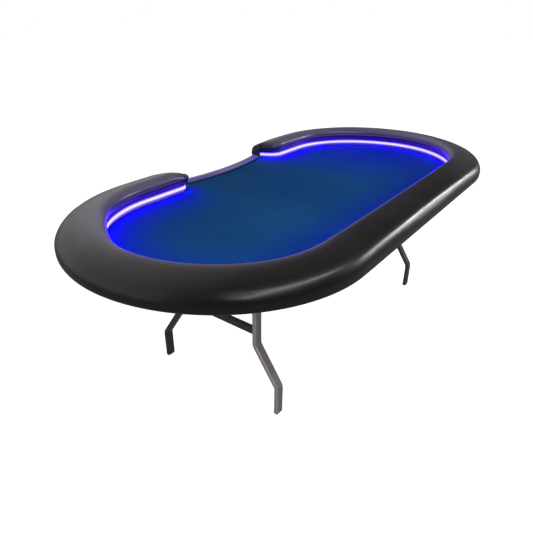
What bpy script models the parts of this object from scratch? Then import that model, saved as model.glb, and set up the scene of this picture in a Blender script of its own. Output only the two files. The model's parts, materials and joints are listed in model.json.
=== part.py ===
"""Folding poker table with a padded rail, a light strip round the playing surface and a dealer's bay.

Metres, +Z up. The origin is on the floor under the middle of the table. +X is the long way, and the
dealer's bay is on the +Y side.
"""

import math

import bmesh
import bpy
from mathutils import Matrix, Vector

# Driving dimensions
TABLE_LENGTH = 2.350
TABLE_WIDTH = 1.180
RAIL_WALL = 0.139  # from the table's edge to the upright wall under the padding
RAIL_NOSE = 0.156  # from the table's edge to the fullest part of the padding over the lights
GAP = 0.0003  # between pieces that touch
PAD_GAP = 0.0015  # between the padding's foam and its vinyl skin

PANEL_BOTTOM = 0.660
PANEL_TOP = 0.675
PANEL_INSET = 0.065
RISER_TOP = 0.6950
BOARD_TOP = 0.6840
FOAM_TOP = 0.6888
CLOTH_TOP = 0.6900
RAIL_BOTTOM = 0.6955
RAIL_CREST = 0.787

HALF_WIDTH = TABLE_WIDTH / 2
STRAIGHT = TABLE_LENGTH / 2 - HALF_WIDTH  # half the straight side, so each end is a half circle
CAP_STEPS = 16
CORNER_STEPS = 4
TIP_STEPS = 5

# The dealer's bay: where the rail stops, and the shallow arc of the edge between its ends
BAY_LEFT = {"wall_x": 0.330, "corner": 0.035, "turn": 70, "end_x": 0.308}
BAY_RIGHT = {"wall_x": 0.350, "corner": 0.070, "turn": 65, "end_x": 0.318}
BAY_EDGE_Y = 0.545
BAY_ARC_RADIUS = 1.30
EDGE_WIDTH = 0.045
EDGE_TOP = 0.702
EDGE_END_GAP = 0.004

# The padded rail's section, as distances in from the table's edge and heights
VINYL = 0.0015
SKIN_FOOT = 0.008  # radius under the table's edge
SHOULDER = (0.018, 0.730)
SHOULDER_RADII = (0.018, 0.035)
TOP_MIDDLE = (0.062, 0.7745)
NOSE = (0.125, 0.7570)
BULGE_BOTTOM = 0.7235
OUTER_HEM = 0.055
INNER_HEM = 0.105
CORE_INNER = 0.0300  # the wooden ring inside the padding
CORE_OUTER = RAIL_WALL - VINYL - GAP
CORE_TOP = 0.738
RISER_INSET = PANEL_INSET + 0.002

# Playing surface and dealer's edge
BOARD_INSET = 0.0012
CLOTH_INSET = 0.0008
PANEL_BAY_X = 0.300
PANEL_BAY_INSET = 0.004
EDGE_ROUND_OUTER = 0.009
EDGE_ROUND_INNER = 0.004
EDGE_STEPS = 12
BAY_STEPS = 8

# Light channel, as distances from the rail's wall towards the middle
CHANNEL_LOW, CHANNEL_HIGH = 0.6990, 0.7190
CHANNEL_DEPTH = 0.0065
CHANNEL_WALL = 0.0012
TAPE_LOW, TAPE_HIGH = 0.7050, 0.7130
TAPE_THICK = 0.001
COVER_THICK = 0.0018

# Legs
LEG_X = 0.648
PIVOT_Z = 0.622
PIVOT_RADIUS = 0.0127
PIVOT_HALF = 0.264
PIVOT_TUBE_WALL = 0.002
PIVOT_SIDES = 16
LEG_TUBE_X = 0.038
LEG_TUBE_Y = 0.019
TUBE_WALL = 0.0016
FOOT_Y = 0.312
HIP_Y = 0.205
LOWER_KNEE_Z = 0.130
UPPER_KNEE_Z = 0.289
KNEE_RADIUS = 0.030
KNEE_STEPS = 4
PLUG_HEIGHT = 0.004
CROSSBAR_Z = 0.349
CROSSBAR_X = 0.020
CROSSBAR_HEIGHT = 0.027

# Folding stays between the crossbar and the panel. The leg folds a quarter turn and both links end up flat.
STAY_REACH = 0.420  # from the leg's pivot to the stay's upper pivot
STAY_TOP_Z = 0.645
STAY_FOOT_Z = CROSSBAR_Z
STAY_FOOT_OUT = 0.0205  # from the legs' plane to the stay's lower pivot
STAY_WIDTH = 0.014
STAY_THICK = 0.005
STAY_PLANE = 0.0030  # each link's middle is this far from the stay's centre plane
PIN_RADIUS = 0.0030
PIN_HOLE = 0.0034
PIN_HEAD = 0.002
PIN_HEAD_THICK = 0.0015
PIN_PLAY = 0.0006
RIVET_HEAD = ((0.0050, -0.0005), (0.0050, 0.0015), (0.0032, 0.0030))  # (radius, distance out)

# Brackets
PLATE = 0.003
PLATE_HALF = (0.046, 0.262)
SADDLE_Y = 0.245
SADDLE_HALF = 0.012
SADDLE_GAP = 0.0006
BRACKET_HALF = (0.012, 0.032)
EAR_GAP = STAY_THICK / 2 + 0.0006
EAR_TIP = 0.0065
LUG_HALF = (0.020, 0.0085)
LUG_SINK = 0.0005

# Screws and bolts, as (radius, distance up from under the head)
SCREW = ((0.0052, -0.0026), (0.0052, 0), (0.0022, 0), (0.0022, 0.0130))
SCREW_HOLE = 0.0030
PILOT_HOLE = 0.0027
PIVOT_SCREWS = ((-0.034, -0.225), (-0.034, 0.225), (0.034, -0.225), (0.034, 0.225))
STAY_SCREW_Y = 0.022
BOLT = ((0.0080, -0.0050), (0.0080, 0), (0.0040, 0), (0.0040, 0.0560))
BOLT_HOLE = 0.0046
RAIL_BOLTS = {
    "front_left": (-0.480, -0.492),
    "front_right": (0.480, -0.492),
    "back_left": (-0.480, 0.492),
    "back_right": (0.480, 0.492),
}

# Light controller under the panel
CASE_CENTRE = (0.120, 0.425)
CASE_SIZE = (0.110, 0.060, 0.028)
CASE_WALL = 0.002
ROCKER_X = -0.030  # from the middle of the case
ROCKER_WINDOW = (0.0098, 0.0068)
ROCKER_HALF = 0.0090
ROCKER_SECTION = (
    (-0.0040, -0.0040),
    (0.0030, -0.0056),
    (0.0018, 0.0),
    (0.0030, 0.0056),
    (-0.0040, 0.0040),
)
ROCKER_PIVOT_INSET = 0.0010
ROCKER_TILT = math.radians(8)
SOCKET_X = 0.025
SOCKET_RADIUS = 0.0055
SOCKET_HOLE = 0.0027
SOCKET_DEPTH = 0.010
SOCKET_PROUD = 0.0010
LEAD_RADIUS = 0.0022
LEAD_INSIDE = 0.006
LEAD_HOLE = (0.345, 0.470)
LEAD_HOLE_RADIUS = 0.0040


def material(name, colour, roughness, metallic=0.0):
    made = bpy.data.materials.new(name)
    made.use_nodes = True
    shader = made.node_tree.nodes["Principled BSDF"]
    shader.inputs["Base Color"].default_value = (*colour, 1)
    shader.inputs["Roughness"].default_value = roughness
    shader.inputs["Metallic"].default_value = metallic
    return made


def make_object(name, bm, finish, parent=None, smooth=None):
    """Turns a bmesh into a named object, closed and facing out."""
    bmesh.ops.remove_doubles(bm, verts=bm.verts, dist=1e-6)
    bmesh.ops.recalc_face_normals(bm, faces=bm.faces)
    mesh = bpy.data.meshes.new(name)
    bm.to_mesh(mesh)
    bm.free()
    mesh.materials.append(finish)
    if smooth:
        mesh.shade_smooth()
        mesh.set_sharp_from_angle(angle=math.radians(smooth))
    return place_mesh(name, mesh, parent)


def place_mesh(name, mesh, parent=None):
    obj = bpy.data.objects.new(name, mesh)
    bpy.context.scene.collection.objects.link(obj)
    obj.parent = parent
    return obj


def make_empty(name, location, turned=False):
    empty = bpy.data.objects.new(name, None)
    bpy.context.scene.collection.objects.link(empty)
    empty.location = location
    empty.rotation_euler.z = math.pi if turned else 0.0
    return empty


def arc(centre, radii, start, end, steps):
    """Points on an ellipse from start to end, in degrees."""
    angles = [math.radians(start + (end - start) * i / steps) for i in range(steps + 1)]
    return [(centre[0] + radii[0] * math.cos(a), centre[1] + radii[1] * math.sin(a)) for a in angles]


def loft(name, rings, finish, smooth=None, parent=None):
    """One closed solid through rings that have equal numbers of points, with a flat face on each end."""
    bm = bmesh.new()
    made = [[bm.verts.new(p) for p in ring] for ring in rings]
    count = len(rings[0])
    for a, b in zip(made, made[1:]):
        for i in range(count):
            j = (i + 1) % count
            bm.faces.new((a[i], a[j], b[j], b[i]))
    bm.faces.new(made[0])
    bm.faces.new(made[-1])
    return make_object(name, bm, finish, parent, smooth)


def hollow_loft(name, outer, inner, finish, parent=None, smooth=None):
    """A tube with open ends, between two lofts whose rings pair up."""
    bm = bmesh.new()
    shells = [[[bm.verts.new(p) for p in ring] for ring in rings] for rings in (outer, inner)]
    count = len(outer[0])
    for made in shells:
        for a, b in zip(made, made[1:]):
            for i in range(count):
                j = (i + 1) % count
                bm.faces.new((a[i], a[j], b[j], b[i]))
    for end in (0, -1):
        a, b = shells[0][end], shells[1][end]
        for i in range(count):
            j = (i + 1) % count
            bm.faces.new((a[i], a[j], b[j], b[i]))
    return make_object(name, bm, finish, parent, smooth)


def prism(name, outline, low, high, finish):
    """A flat plate with that outline, seen from above."""
    return loft(name, [[(x, y, z) for x, y in outline] for z in (low, high)], finish)


def turned_mesh(bm, profile, centre, axis, sides):
    """Adds a solid turned about an axis through centre: profile is (radius, distance along the axis)."""
    spin = axis.to_track_quat("Z", "Y").to_matrix()
    rings = []
    for radius, along in profile:
        ring = []
        for i in range(sides):
            a = 2 * math.pi * (i + 0.5) / sides
            local = Vector((radius * math.cos(a), radius * math.sin(a), along))
            ring.append(bm.verts.new(Vector(centre) + spin @ local))
        rings.append(ring)
    for a, b in zip(rings, rings[1:]):
        for i in range(sides):
            j = (i + 1) % sides
            bm.faces.new((a[i], a[j], b[j], b[i]))
    bm.faces.new(rings[0][::-1])
    bm.faces.new(rings[-1])


def turned(name, profile, centre, axis, sides, finish, parent=None):
    bm = bmesh.new()
    turned_mesh(bm, profile, centre, Vector(axis), sides)
    return make_object(name, bm, finish, parent, smooth=40)


def drill(target, holes, sides=8):
    """Cuts round holes. Each hole is (centre, axis, radius, length), centred on its length."""
    bm = bmesh.new()
    for centre, axis, radius, length in holes:
        profile = [(radius, -length / 2), (radius, length / 2)]
        turned_mesh(bm, profile, centre, Vector(axis), sides)
    cut_with(target, make_object(target.name + "_cutter", bm, STEEL, target.parent))


def cut_with(target, cutter, operation="DIFFERENCE"):
    cutter.hide_render = True
    cutter.display_type = "WIRE"
    modifier = target.modifiers.new(operation.title(), "BOOLEAN")
    modifier.operation = operation
    modifier.object = cutter


def box(name, low, high, finish, parent=None):
    corners = [(low[0], low[1]), (high[0], low[1]), (high[0], high[1]), (low[0], high[1])]
    return loft(name, [[(x, y, z) for x, y in corners] for z in (low[2], high[2])], finish, parent=parent)


# ---- Plan of the rail -------------------------------------------------------------------------------------


def bay_corner(bay):
    """The rounded corner of the rail's wall beside the bay, from its tip to the straight back."""
    reach = bay["corner"]
    centre = (bay["wall_x"] + reach, HALF_WIDTH - RAIL_WALL + reach)
    return arc(centre, (reach, reach), 270 - bay["turn"], 270, CORNER_STEPS)


def bay_stations(bay, side):
    """(edge point, wall point) pairs round the rail's corner by the dealer's bay, starting at its tip."""
    pairs = []
    for i, wall in enumerate(bay_corner(bay)):
        share = 0.15 + 0.85 * i / CORNER_STEPS
        edge_x = bay["wall_x"] + bay["corner"] * share if i else bay["end_x"]
        pairs.append((Vector((side * edge_x, HALF_WIDTH)), Vector((side * wall[0], wall[1]))))
    tip, after = pairs[0], pairs[1]
    blend = [tuple(a.lerp(b, i / TIP_STEPS) for a, b in zip(tip, after)) for i in range(TIP_STEPS)]
    return blend + pairs[1:]


def rail_stations():
    """(edge point, wall point) pairs in plan, from the bay's right tip round to its left tip."""
    pairs = bay_stations(BAY_RIGHT, 1)
    for side, start in ((1, 90), (-1, 270)):
        for i in range(CAP_STEPS + 1):
            a = math.radians(start - 180 * i / CAP_STEPS)
            out = Vector((math.cos(a), math.sin(a)))
            centre = Vector((side * STRAIGHT, 0))
            pairs.append((centre + out * HALF_WIDTH, centre + out * (HALF_WIDTH - RAIL_WALL)))
    return pairs + bay_stations(BAY_LEFT, -1)[::-1]


def rail_point(station, inward, z, full=RAIL_WALL):
    """Distances up to full shrink with the rail's width at the bay. Beyond the wall they don't."""
    edge, wall = station
    across = wall - edge
    if inward <= full:
        p = edge + across * (inward / full)
    else:
        p = wall + across.normalized() * (inward - full)
    return (p.x, p.y, z)


def rail_loft(name, profile, finish, smooth=None, tip_width=RAIL_NOSE):
    """Sweeps a profile round the rail. At the tips it is squeezed to end flush with the wall."""
    stations = rail_stations()
    widths = [RAIL_WALL] * len(stations)
    for i in range(TIP_STEPS):
        widths[i] = widths[-1 - i] = tip_width + (RAIL_WALL - tip_width) * i / TIP_STEPS
    rings = [[rail_point(s, inward, z, w) for inward, z in profile] for s, w in zip(stations, widths)]
    return loft(name, rings, finish, smooth)


def wall_path(distance):
    """The rail's wall moved towards the middle of the table by distance, as plan points."""
    walls = [wall for _, wall in rail_stations()]
    moved = []
    for i, p in enumerate(walls):
        before = (p - walls[i - 1]).normalized() if i else None
        after = (walls[i + 1] - p).normalized() if i + 1 < len(walls) else None
        along = ((before or after) + (after or before)).normalized()
        stretch = 1.0 if before is None or after is None else 1 / max(0.5, along.dot(before))
        moved.append(p + Vector((along.y, -along.x)) * distance * stretch)
    return moved


def wall_loft(name, profile, finish):
    """Sweeps a profile of (distance from the wall, height) along the whole of the rail's wall."""
    lanes = {d: wall_path(d) for d, _ in profile}
    count = len(lanes[profile[0][0]])
    rings = [[(lanes[d][i].x, lanes[d][i].y, z) for d, z in profile] for i in range(count)]
    return loft(name, rings, finish)


def bay_arc(y_at_middle, x):
    return y_at_middle + x * x / (2 * BAY_ARC_RADIUS)


def bay_limit(y_at_middle, bay, side):
    """Where an arc of the bay's edge meets the rail's end face, less a gap."""
    tip = bay_corner(bay)[0]
    slope = (tip[0] - bay["end_x"]) / (HALF_WIDTH - tip[1])
    x = bay["end_x"]
    for _ in range(20):
        x = bay["end_x"] + (HALF_WIDTH - bay_arc(y_at_middle, x)) * slope - EDGE_END_GAP
    return side * x


# ---- Rail profiles: (distance in from the table's edge, height) ------------------------------------------


def rail_skin(shrink):
    """The padding's outline from its underside, over the top, to under its nose, moved in by shrink."""
    foot = SKIN_FOOT - shrink
    shoulder = [radius - shrink for radius in SHOULDER_RADII]
    nose = (RAIL_NOSE - NOSE[0] - shrink, RAIL_CREST - NOSE[1] - shrink)
    skin = arc((SKIN_FOOT, RAIL_BOTTOM + SKIN_FOOT), (foot, foot), 270, 180, 1)
    skin += arc(SHOULDER, shoulder, 180, 98, 3)
    skin += [(TOP_MIDDLE[0], TOP_MIDDLE[1] - shrink), (NOSE[0], RAIL_CREST - shrink)]
    skin += arc(NOSE, nose, 60, -40, 4)
    return skin


def make_rail_vinyl():
    """The vinyl skin, open underneath between its two stapled hems."""
    low = RAIL_BOTTOM
    skin = [(OUTER_HEM, low)] + rail_skin(0) + [(RAIL_WALL, BULGE_BOTTOM), (RAIL_WALL, low)]
    skin += [(INNER_HEM, low), (INNER_HEM, low + VINYL)]
    skin += [(RAIL_WALL - VINYL, low + VINYL), (RAIL_WALL - VINYL, BULGE_BOTTOM + VINYL)]
    skin += rail_skin(VINYL)[::-1] + [(OUTER_HEM, low + VINYL)]
    rail_loft("rail_vinyl", skin, VINYL_BLACK, smooth=30)


def make_end_cover(name, end, beside):
    """The vinyl over one end of the rail, beside the dealer's bay."""
    edge, wall = rail_stations()[end]
    across = (wall - edge).normalized()
    away = Vector((-across.y, across.x))
    if away.dot(edge - rail_stations()[beside][0]) < 0:
        away = -away
    face = rail_skin(0) + [(RAIL_WALL, BULGE_BOTTOM), (RAIL_WALL, RAIL_BOTTOM)]
    rings = []
    for step in (GAP, GAP + VINYL):
        moved = (edge + away * step, wall + away * step)
        rings.append([rail_point(moved, inward, z, RAIL_NOSE) for inward, z in face])
    loft(name, rings, VINYL_BLACK)


def make_rail_filling():
    """The foam, the wooden ring under it and the riser below. Returns the two wooden pieces."""
    low = RAIL_BOTTOM + VINYL + GAP
    outer, inner, top = CORE_INNER - GAP, CORE_OUTER + GAP, CORE_TOP + GAP
    pad = [(outer, low)] + rail_skin(VINYL + PAD_GAP)
    pad += [(inner, BULGE_BOTTOM + VINYL + PAD_GAP), (inner, top), (outer, top)]
    rail_loft("rail_foam", pad, FOAM)
    core = [(CORE_INNER, low), (CORE_OUTER, low), (CORE_OUTER, CORE_TOP), (CORE_INNER, CORE_TOP)]
    riser_low = PANEL_TOP + GAP
    riser = [(RISER_INSET, riser_low), (RAIL_WALL, riser_low)]
    riser += [(RAIL_WALL, RISER_TOP), (RISER_INSET, RISER_TOP)]
    core_ring = rail_loft("rail_core", core, PLYWOOD)
    riser_ring = rail_loft("rail_riser", riser, PLYWOOD, tip_width=RAIL_WALL)
    return core_ring, riser_ring


# ---- Tabletop ---------------------------------------------------------------------------------------------


def play_outline(distance):
    """The playing surface in plan: the rail's wall, closed by the inner side of the dealer's edge."""
    outline = [tuple(p) for p in wall_path(distance)]
    back = BAY_EDGE_Y - EDGE_WIDTH - distance
    left = bay_limit(back, BAY_LEFT, -1)
    right = bay_limit(back, BAY_RIGHT, 1)
    bay = [left + (right - left) * i / BAY_STEPS for i in range(BAY_STEPS + 1)]
    return outline + [(x, bay_arc(back, x)) for x in bay]


def panel_outline():
    """The base panel in plan: set in under the rail, and nearly flush with the dealer's edge."""
    ring = [rail_point(s, PANEL_INSET, 0)[:2] for s in rail_stations()[1:-1]]
    bay = [-PANEL_BAY_X + 2 * PANEL_BAY_X * i / BAY_STEPS for i in range(BAY_STEPS + 1)]
    return ring + [(x, bay_arc(BAY_EDGE_Y - PANEL_BAY_INSET, x)) for x in bay]


def edge_section(share, profile):
    """A section of the dealer's edge, a share of the way from its right end to its left end."""
    sides = []
    for y in (BAY_EDGE_Y, BAY_EDGE_Y - EDGE_WIDTH):
        right, left = bay_limit(y, BAY_RIGHT, 1), bay_limit(y, BAY_LEFT, -1)
        x = right + (left - right) * share
        sides.append(Vector((x, bay_arc(y, x))))
    outer, inner = sides
    return [(*(outer + (inner - outer) * (n / EDGE_WIDTH)), z) for n, z in profile]


def edge_loft(name, profile, finish, smooth=None):
    loft(name, [edge_section(i / EDGE_STEPS, profile) for i in range(EDGE_STEPS + 1)], finish, smooth)


def make_dealer_edge():
    """A low vinyl-covered edge that closes the dealer's bay, as a skin over a wooden strip."""
    low, top, wide, v = PANEL_TOP + GAP, EDGE_TOP, EDGE_WIDTH, VINYL
    outer, inner = EDGE_ROUND_OUTER, EDGE_ROUND_INNER
    outside = [(0, low)] + arc((outer, top - outer), (outer, outer), 180, 90, 3)
    outside += arc((wide - inner, top - inner), (inner, inner), 90, 0, 2) + [(wide, low)]
    inside = [(wide - v, low), (wide - v, top - inner), (wide - inner, top - v)]
    inside += [(outer, top - v), (v, top - outer), (v, low)]
    edge_loft("dealer_edge_vinyl", outside + inside, VINYL_BLACK, smooth=30)
    g = v + GAP
    core = [(g, low), (g, top - outer - GAP), (outer, top - g), (wide - inner - GAP, top - g)]
    core += [(wide - g, top - inner - GAP), (wide - g, low)]
    edge_loft("dealer_edge_core", core, PLYWOOD)


def make_light_strip():
    """An aluminium channel on the rail's wall, with the light tape and a milky cover inside it."""
    back, deep, t = GAP, CHANNEL_DEPTH, CHANNEL_WALL
    low, high = CHANNEL_LOW, CHANNEL_HIGH
    channel = [(back, low), (deep, low), (deep, low + t), (back + t, low + t)]
    channel += [(back + t, high - t), (deep, high - t), (deep, high), (back, high)]
    wall_loft("led_channel", channel, ALUMINIUM)
    tape_back = back + t + GAP
    tape_front = tape_back + TAPE_THICK
    tape = [(tape_back, TAPE_LOW), (tape_front, TAPE_LOW)]
    tape += [(tape_front, TAPE_HIGH), (tape_back, TAPE_HIGH)]
    wall_loft("led_tape", tape, TAPE_WHITE)
    cover_low, cover_high, cover_back = low + t + GAP, high - t - GAP, deep - COVER_THICK
    cover = [(cover_back, cover_low), (deep, cover_low), (deep, cover_high), (cover_back, cover_high)]
    wall_loft("led_diffuser", cover, DIFFUSER)


# ---- Light controller -------------------------------------------------------------------------------------


def case_middle():
    """The middle of the controller's outer face, where the switch and the socket are."""
    return Vector((CASE_CENTRE[0], CASE_CENTRE[1] + CASE_SIZE[1] / 2, PANEL_BOTTOM - GAP - CASE_SIZE[2] / 2))


def make_case():
    """An open-topped box under the panel, with openings for the switch, the socket and the lead."""
    middle = case_middle()
    centre = Vector((*CASE_CENTRE, middle.z))
    half = Vector(CASE_SIZE) / 2
    wall = Vector((CASE_WALL, CASE_WALL, CASE_WALL))
    case = box("led_controller_case", centre - half, centre + half, PLASTIC)
    open_top = Vector((0, 0, 2 * CASE_WALL))
    cut_with(case, box("case_hollow", centre - half + wall, centre + half - wall + open_top, PLASTIC))
    window = Vector((ROCKER_WINDOW[0], 2 * CASE_WALL, ROCKER_WINDOW[1]))
    rocker = middle + Vector((ROCKER_X, 0, 0))
    cut_with(case, box("rocker_window", rocker - window, rocker + window, PLASTIC))
    socket_wall = middle + Vector((SOCKET_X, -CASE_WALL / 2, 0))
    lead_wall = centre + Vector((half.x - CASE_WALL / 2, 0, 0))
    drill(case, [(socket_wall, (0, 1, 0), SOCKET_RADIUS + 0.0005, 3 * CASE_WALL)], sides=12)
    drill(case, [(lead_wall, (1, 0, 0), LEAD_RADIUS + 0.0008, 3 * CASE_WALL)])


def make_switch_and_socket():
    middle = case_middle()
    pivot = make_empty("rocker_pivot", middle + Vector((ROCKER_X, -ROCKER_PIVOT_INSET, 0)))
    pivot.rotation_euler.x = ROCKER_TILT
    rings = [[(x, y, z) for y, z in ROCKER_SECTION] for x in (-ROCKER_HALF, ROCKER_HALF)]
    loft("power_rocker", rings, PLASTIC, parent=pivot)
    place = middle + Vector((SOCKET_X, 0, 0))
    barrel = [(SOCKET_RADIUS, -SOCKET_DEPTH), (SOCKET_RADIUS, SOCKET_PROUD)]
    socket = turned("power_socket", barrel, place, (0, 1, 0), 12, STEEL)
    drill(socket, [(place, (0, 1, 0), SOCKET_HOLE, 1.4 * SOCKET_DEPTH)], sides=12)


def make_lead():
    """The lead from the controller to the hole under the lights."""
    z = case_middle().z
    start_x, start_y = CASE_CENTRE[0] + CASE_SIZE[0] / 2 - LEAD_INSIDE, CASE_CENTRE[1]
    x, y = LEAD_HOLE
    path = [(start_x, start_y, z), (x - 0.030, start_y, z), (x, start_y + 0.020, z)]
    path += [(x, y - 0.012, z), (x, y, z + 0.014), (x, y, PANEL_TOP - GAP)]
    curve = bpy.data.curves.new("led_lead", "CURVE")
    curve.dimensions = "3D"
    curve.bevel_depth = LEAD_RADIUS
    curve.bevel_resolution = 1
    curve.use_fill_caps = True
    curve.materials.append(PLASTIC)
    line = curve.splines.new("POLY")
    line.points.add(len(path) - 1)
    for point, place in zip(line.points, path):
        point.co = (*place, 1)
    place_mesh("led_lead", curve)


# ---- Legs: shapes about the point where the pivot crosses the table's centre line -------------------------


def bent_line(points, radius, steps):
    """A plane line with its inner corners rounded."""
    line = [points[0]]
    for before, corner, after in zip(points, points[1:], points[2:]):
        a = (Vector(before) - Vector(corner)).normalized()
        b = (Vector(after) - Vector(corner)).normalized()
        half = a.angle(b) / 2
        centre = Vector(corner) + (a + b).normalized() * radius / math.sin(half)
        first = Vector(corner) + a * radius / math.tan(half)
        sweep = math.pi - 2 * half
        turn = 1 if (first - centre).cross(b - a) > 0 else -1
        for i in range(steps + 1):
            step = Matrix.Rotation(turn * sweep * i / steps, 2)
            line.append(tuple(centre + step @ (first - centre)))
    return line + [points[-1]]


def leg_rings(line, half_x, half_y):
    """Rectangular sections along a bent leg that lies in a plane of constant X."""
    rings = []
    for i, (y, z) in enumerate(line):
        here = Vector((y, z))
        before = (here - Vector(line[i - 1])).normalized() if i else None
        after = (Vector(line[i + 1]) - here).normalized() if i + 1 < len(line) else None
        along = ((before or after) + (after or before)).normalized()
        stretch = 1 / along.dot(before or after)
        side = Vector((-along.y, along.x)) * half_y * stretch
        corners = ((-half_x, -1), (half_x, -1), (half_x, 1), (-half_x, 1))
        rings.append([(x, y + s * side.x, z + s * side.y) for x, s in corners])
    return rings


def leg_line():
    """The middle line of a leg: upright, slanting inwards between the knees, upright to the pivot."""
    knees = [(FOOT_Y, LOWER_KNEE_Z - PIVOT_Z), (HIP_Y, UPPER_KNEE_Z - PIVOT_Z)]
    ends = (FOOT_Y, PLUG_HEIGHT - PIVOT_Z + GAP), (HIP_Y, -PIVOT_RADIUS - GAP)
    return bent_line([ends[0]] + knees + [ends[1]], KNEE_RADIUS, KNEE_STEPS)


def mesh_of(obj):
    """Drops an object and keeps its mesh, for the same piece on both leg sets."""
    mesh = obj.data
    bpy.data.objects.remove(obj)
    return mesh


def leg_mesh(side):
    shells = []
    for trim in (0, TUBE_WALL):
        rings = leg_rings(leg_line(), LEG_TUBE_X / 2 - trim, LEG_TUBE_Y / 2 - trim)
        shells.append([[(x, side * y, z) for x, y, z in ring] for ring in rings])
    return mesh_of(hollow_loft("leg", *shells, STEEL))


def plug_mesh(side):
    half_x, half_y = LEG_TUBE_X / 2, LEG_TUBE_Y / 2
    low = (-half_x, side * FOOT_Y - half_y, -PIVOT_Z)
    high = (half_x, side * FOOT_Y + half_y, PLUG_HEIGHT - PIVOT_Z)
    return mesh_of(box("plug", low, high, PLASTIC))


def crossbar_mesh():
    """A square tube between the two legs."""
    span = HIP_Y - LEG_TUBE_Y / 2 - GAP
    z = CROSSBAR_Z - PIVOT_Z
    shells = []
    for trim in (0, TUBE_WALL):
        x, tall = CROSSBAR_X / 2 - trim, CROSSBAR_HEIGHT / 2 - trim
        section = [(-x, z - tall), (x, z - tall), (x, z + tall), (-x, z + tall)]
        shells.append([[(a, y, b) for a, b in section] for y in (-span, span)])
    return mesh_of(hollow_loft("crossbar", *shells, STEEL))


def pivot_tube_mesh():
    shells = []
    for radius in (PIVOT_RADIUS, PIVOT_RADIUS - PIVOT_TUBE_WALL):
        section = arc((0, 0), (radius, radius), 0, 360, PIVOT_SIDES)[:-1]
        shells.append([[(x, y, z) for x, z in section] for y in (-PIVOT_HALF, PIVOT_HALF)])
    return mesh_of(hollow_loft("pivot_tube", *shells, STEEL, smooth=40))


# ---- Brackets and stays -----------------------------------------------------------------------------------


def stay_bracket(name, parent):
    """A plate with two ears that hold the stay's upper pivot, at the parent's origin."""
    top = PANEL_BOTTOM - STAY_TOP_Z - GAP
    under = top - PLATE
    wide = BRACKET_HALF[1]
    a, b = EAR_GAP, EAR_GAP + PLATE
    section = [(-wide, top), (wide, top), (wide, under), (b, under), (b, -EAR_TIP), (a, -EAR_TIP)]
    section += [(a, under), (-a, under), (-a, -EAR_TIP), (-b, -EAR_TIP), (-b, under), (-wide, under)]
    rings = [[(x, y + STAY_PLANE, z) for y, z in section] for x in (-BRACKET_HALF[0], BRACKET_HALF[0])]
    bracket = loft(name, rings, STEEL, parent=parent)
    drill(bracket, [((0, STAY_PLANE, 0), (0, 1, 0), PIN_HOLE, 4 * b)], sides=12)
    spots = [(0, STAY_PLANE - STAY_SCREW_Y, top), (0, STAY_PLANE + STAY_SCREW_Y, top)]
    drill(bracket, [(spot, (0, 0, 1), SCREW_HOLE, 4 * PLATE) for spot in spots])


def stay_lug(name, parent):
    """A plate with one ear for the crossbar's inner face. The lower pivot is at the parent's origin."""
    seat = STAY_FOOT_OUT - CROSSBAR_X / 2 + LUG_SINK
    under = PLATE - seat
    wide, tall = LUG_HALF
    a, b = -EAR_GAP, -EAR_GAP - PLATE
    section = [(-wide, -seat), (wide, -seat), (wide, under), (a, under), (a, EAR_TIP), (b, EAR_TIP)]
    section += [(b, under), (-wide, under)]
    rings = [[(x, y - STAY_PLANE, z) for y, x in section] for z in (-tall, tall)]
    lug = loft(name, rings, STEEL, parent=parent)
    drill(lug, [((0, -STAY_PLANE, 0), (0, 1, 0), PIN_HOLE, -4 * b)], sides=12)
    return lug


def saddle(name, parent, y, under):
    """A strap round the underside of the pivot tube, joined to the plate above it."""
    hold = PIVOT_RADIUS + SADDLE_GAP
    strap = hold + PLATE
    joint = under + PLATE / 3
    outside = [(strap, joint)] + arc((0, 0), (strap, strap), 0, -180, 8) + [(-strap, joint)]
    inside = [(-hold, joint)] + arc((0, 0), (hold, hold), -180, 0, 8) + [(hold, joint)]
    ends = (y - SADDLE_HALF, y + SADDLE_HALF)
    return loft(name, [[(x, end, z) for x, z in outside + inside] for end in ends], STEEL, parent=parent)


def make_pivot_bracket(name, parent):
    """A long plate with two saddles that hold the pivot tube, screwed to the underside of the panel."""
    top = PANEL_BOTTOM - PIVOT_Z - GAP
    x, y = PLATE_HALF
    base = box(name, (-x, -y, top - PLATE), (x, y, top), STEEL, parent)
    for side in (-1, 1):
        cut_with(base, saddle(f"{name}_saddle_{side}", parent, side * SADDLE_Y, top - PLATE), "UNION")
    drill(base, [((x, y, top), (0, 0, 1), SCREW_HOLE, 4 * PLATE) for x, y in PIVOT_SCREWS])


def link(name, length, plane, parent, direction, head_side):
    """A flat bar with round ends, a pin hole at its origin and a half rivet at its far end."""
    r = STAY_WIDTH / 2
    turn = Matrix.Rotation(direction, 2)
    outline = arc((0, 0), (r, r), 90, 270, 8) + arc((length, 0), (r, r), -90, 90, 8)
    outline = [turn @ Vector(p) for p in outline]
    faces = (plane - STAY_THICK / 2, plane + STAY_THICK / 2)
    bar = loft(name, [[(p.x, y, p.y) for p in outline] for y in faces], STEEL, parent=parent)
    drill(bar, [((0, plane, 0), (0, 1, 0), PIN_HOLE, 3 * STAY_THICK)], sides=12)
    far = turn @ Vector((length, 0))
    place = (far.x, plane + head_side * STAY_THICK / 2, far.y)
    rivet = turned(f"{name}_rivet", RIVET_HEAD, place, (0, head_side, 0), 12, STEEL, parent)
    cut_with(bar, rivet, "UNION")


def link_lengths():
    """The two links reach the leg's stay pin both when it stands and when it is folded flat."""
    standing = math.hypot(STAY_REACH - STAY_FOOT_OUT, STAY_TOP_Z - STAY_FOOT_Z)
    folded = math.hypot(STAY_REACH - PIVOT_Z + STAY_FOOT_Z, STAY_TOP_Z - PIVOT_Z - STAY_FOOT_OUT)
    return (standing + folded) / 2, (standing - folded) / 2


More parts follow.
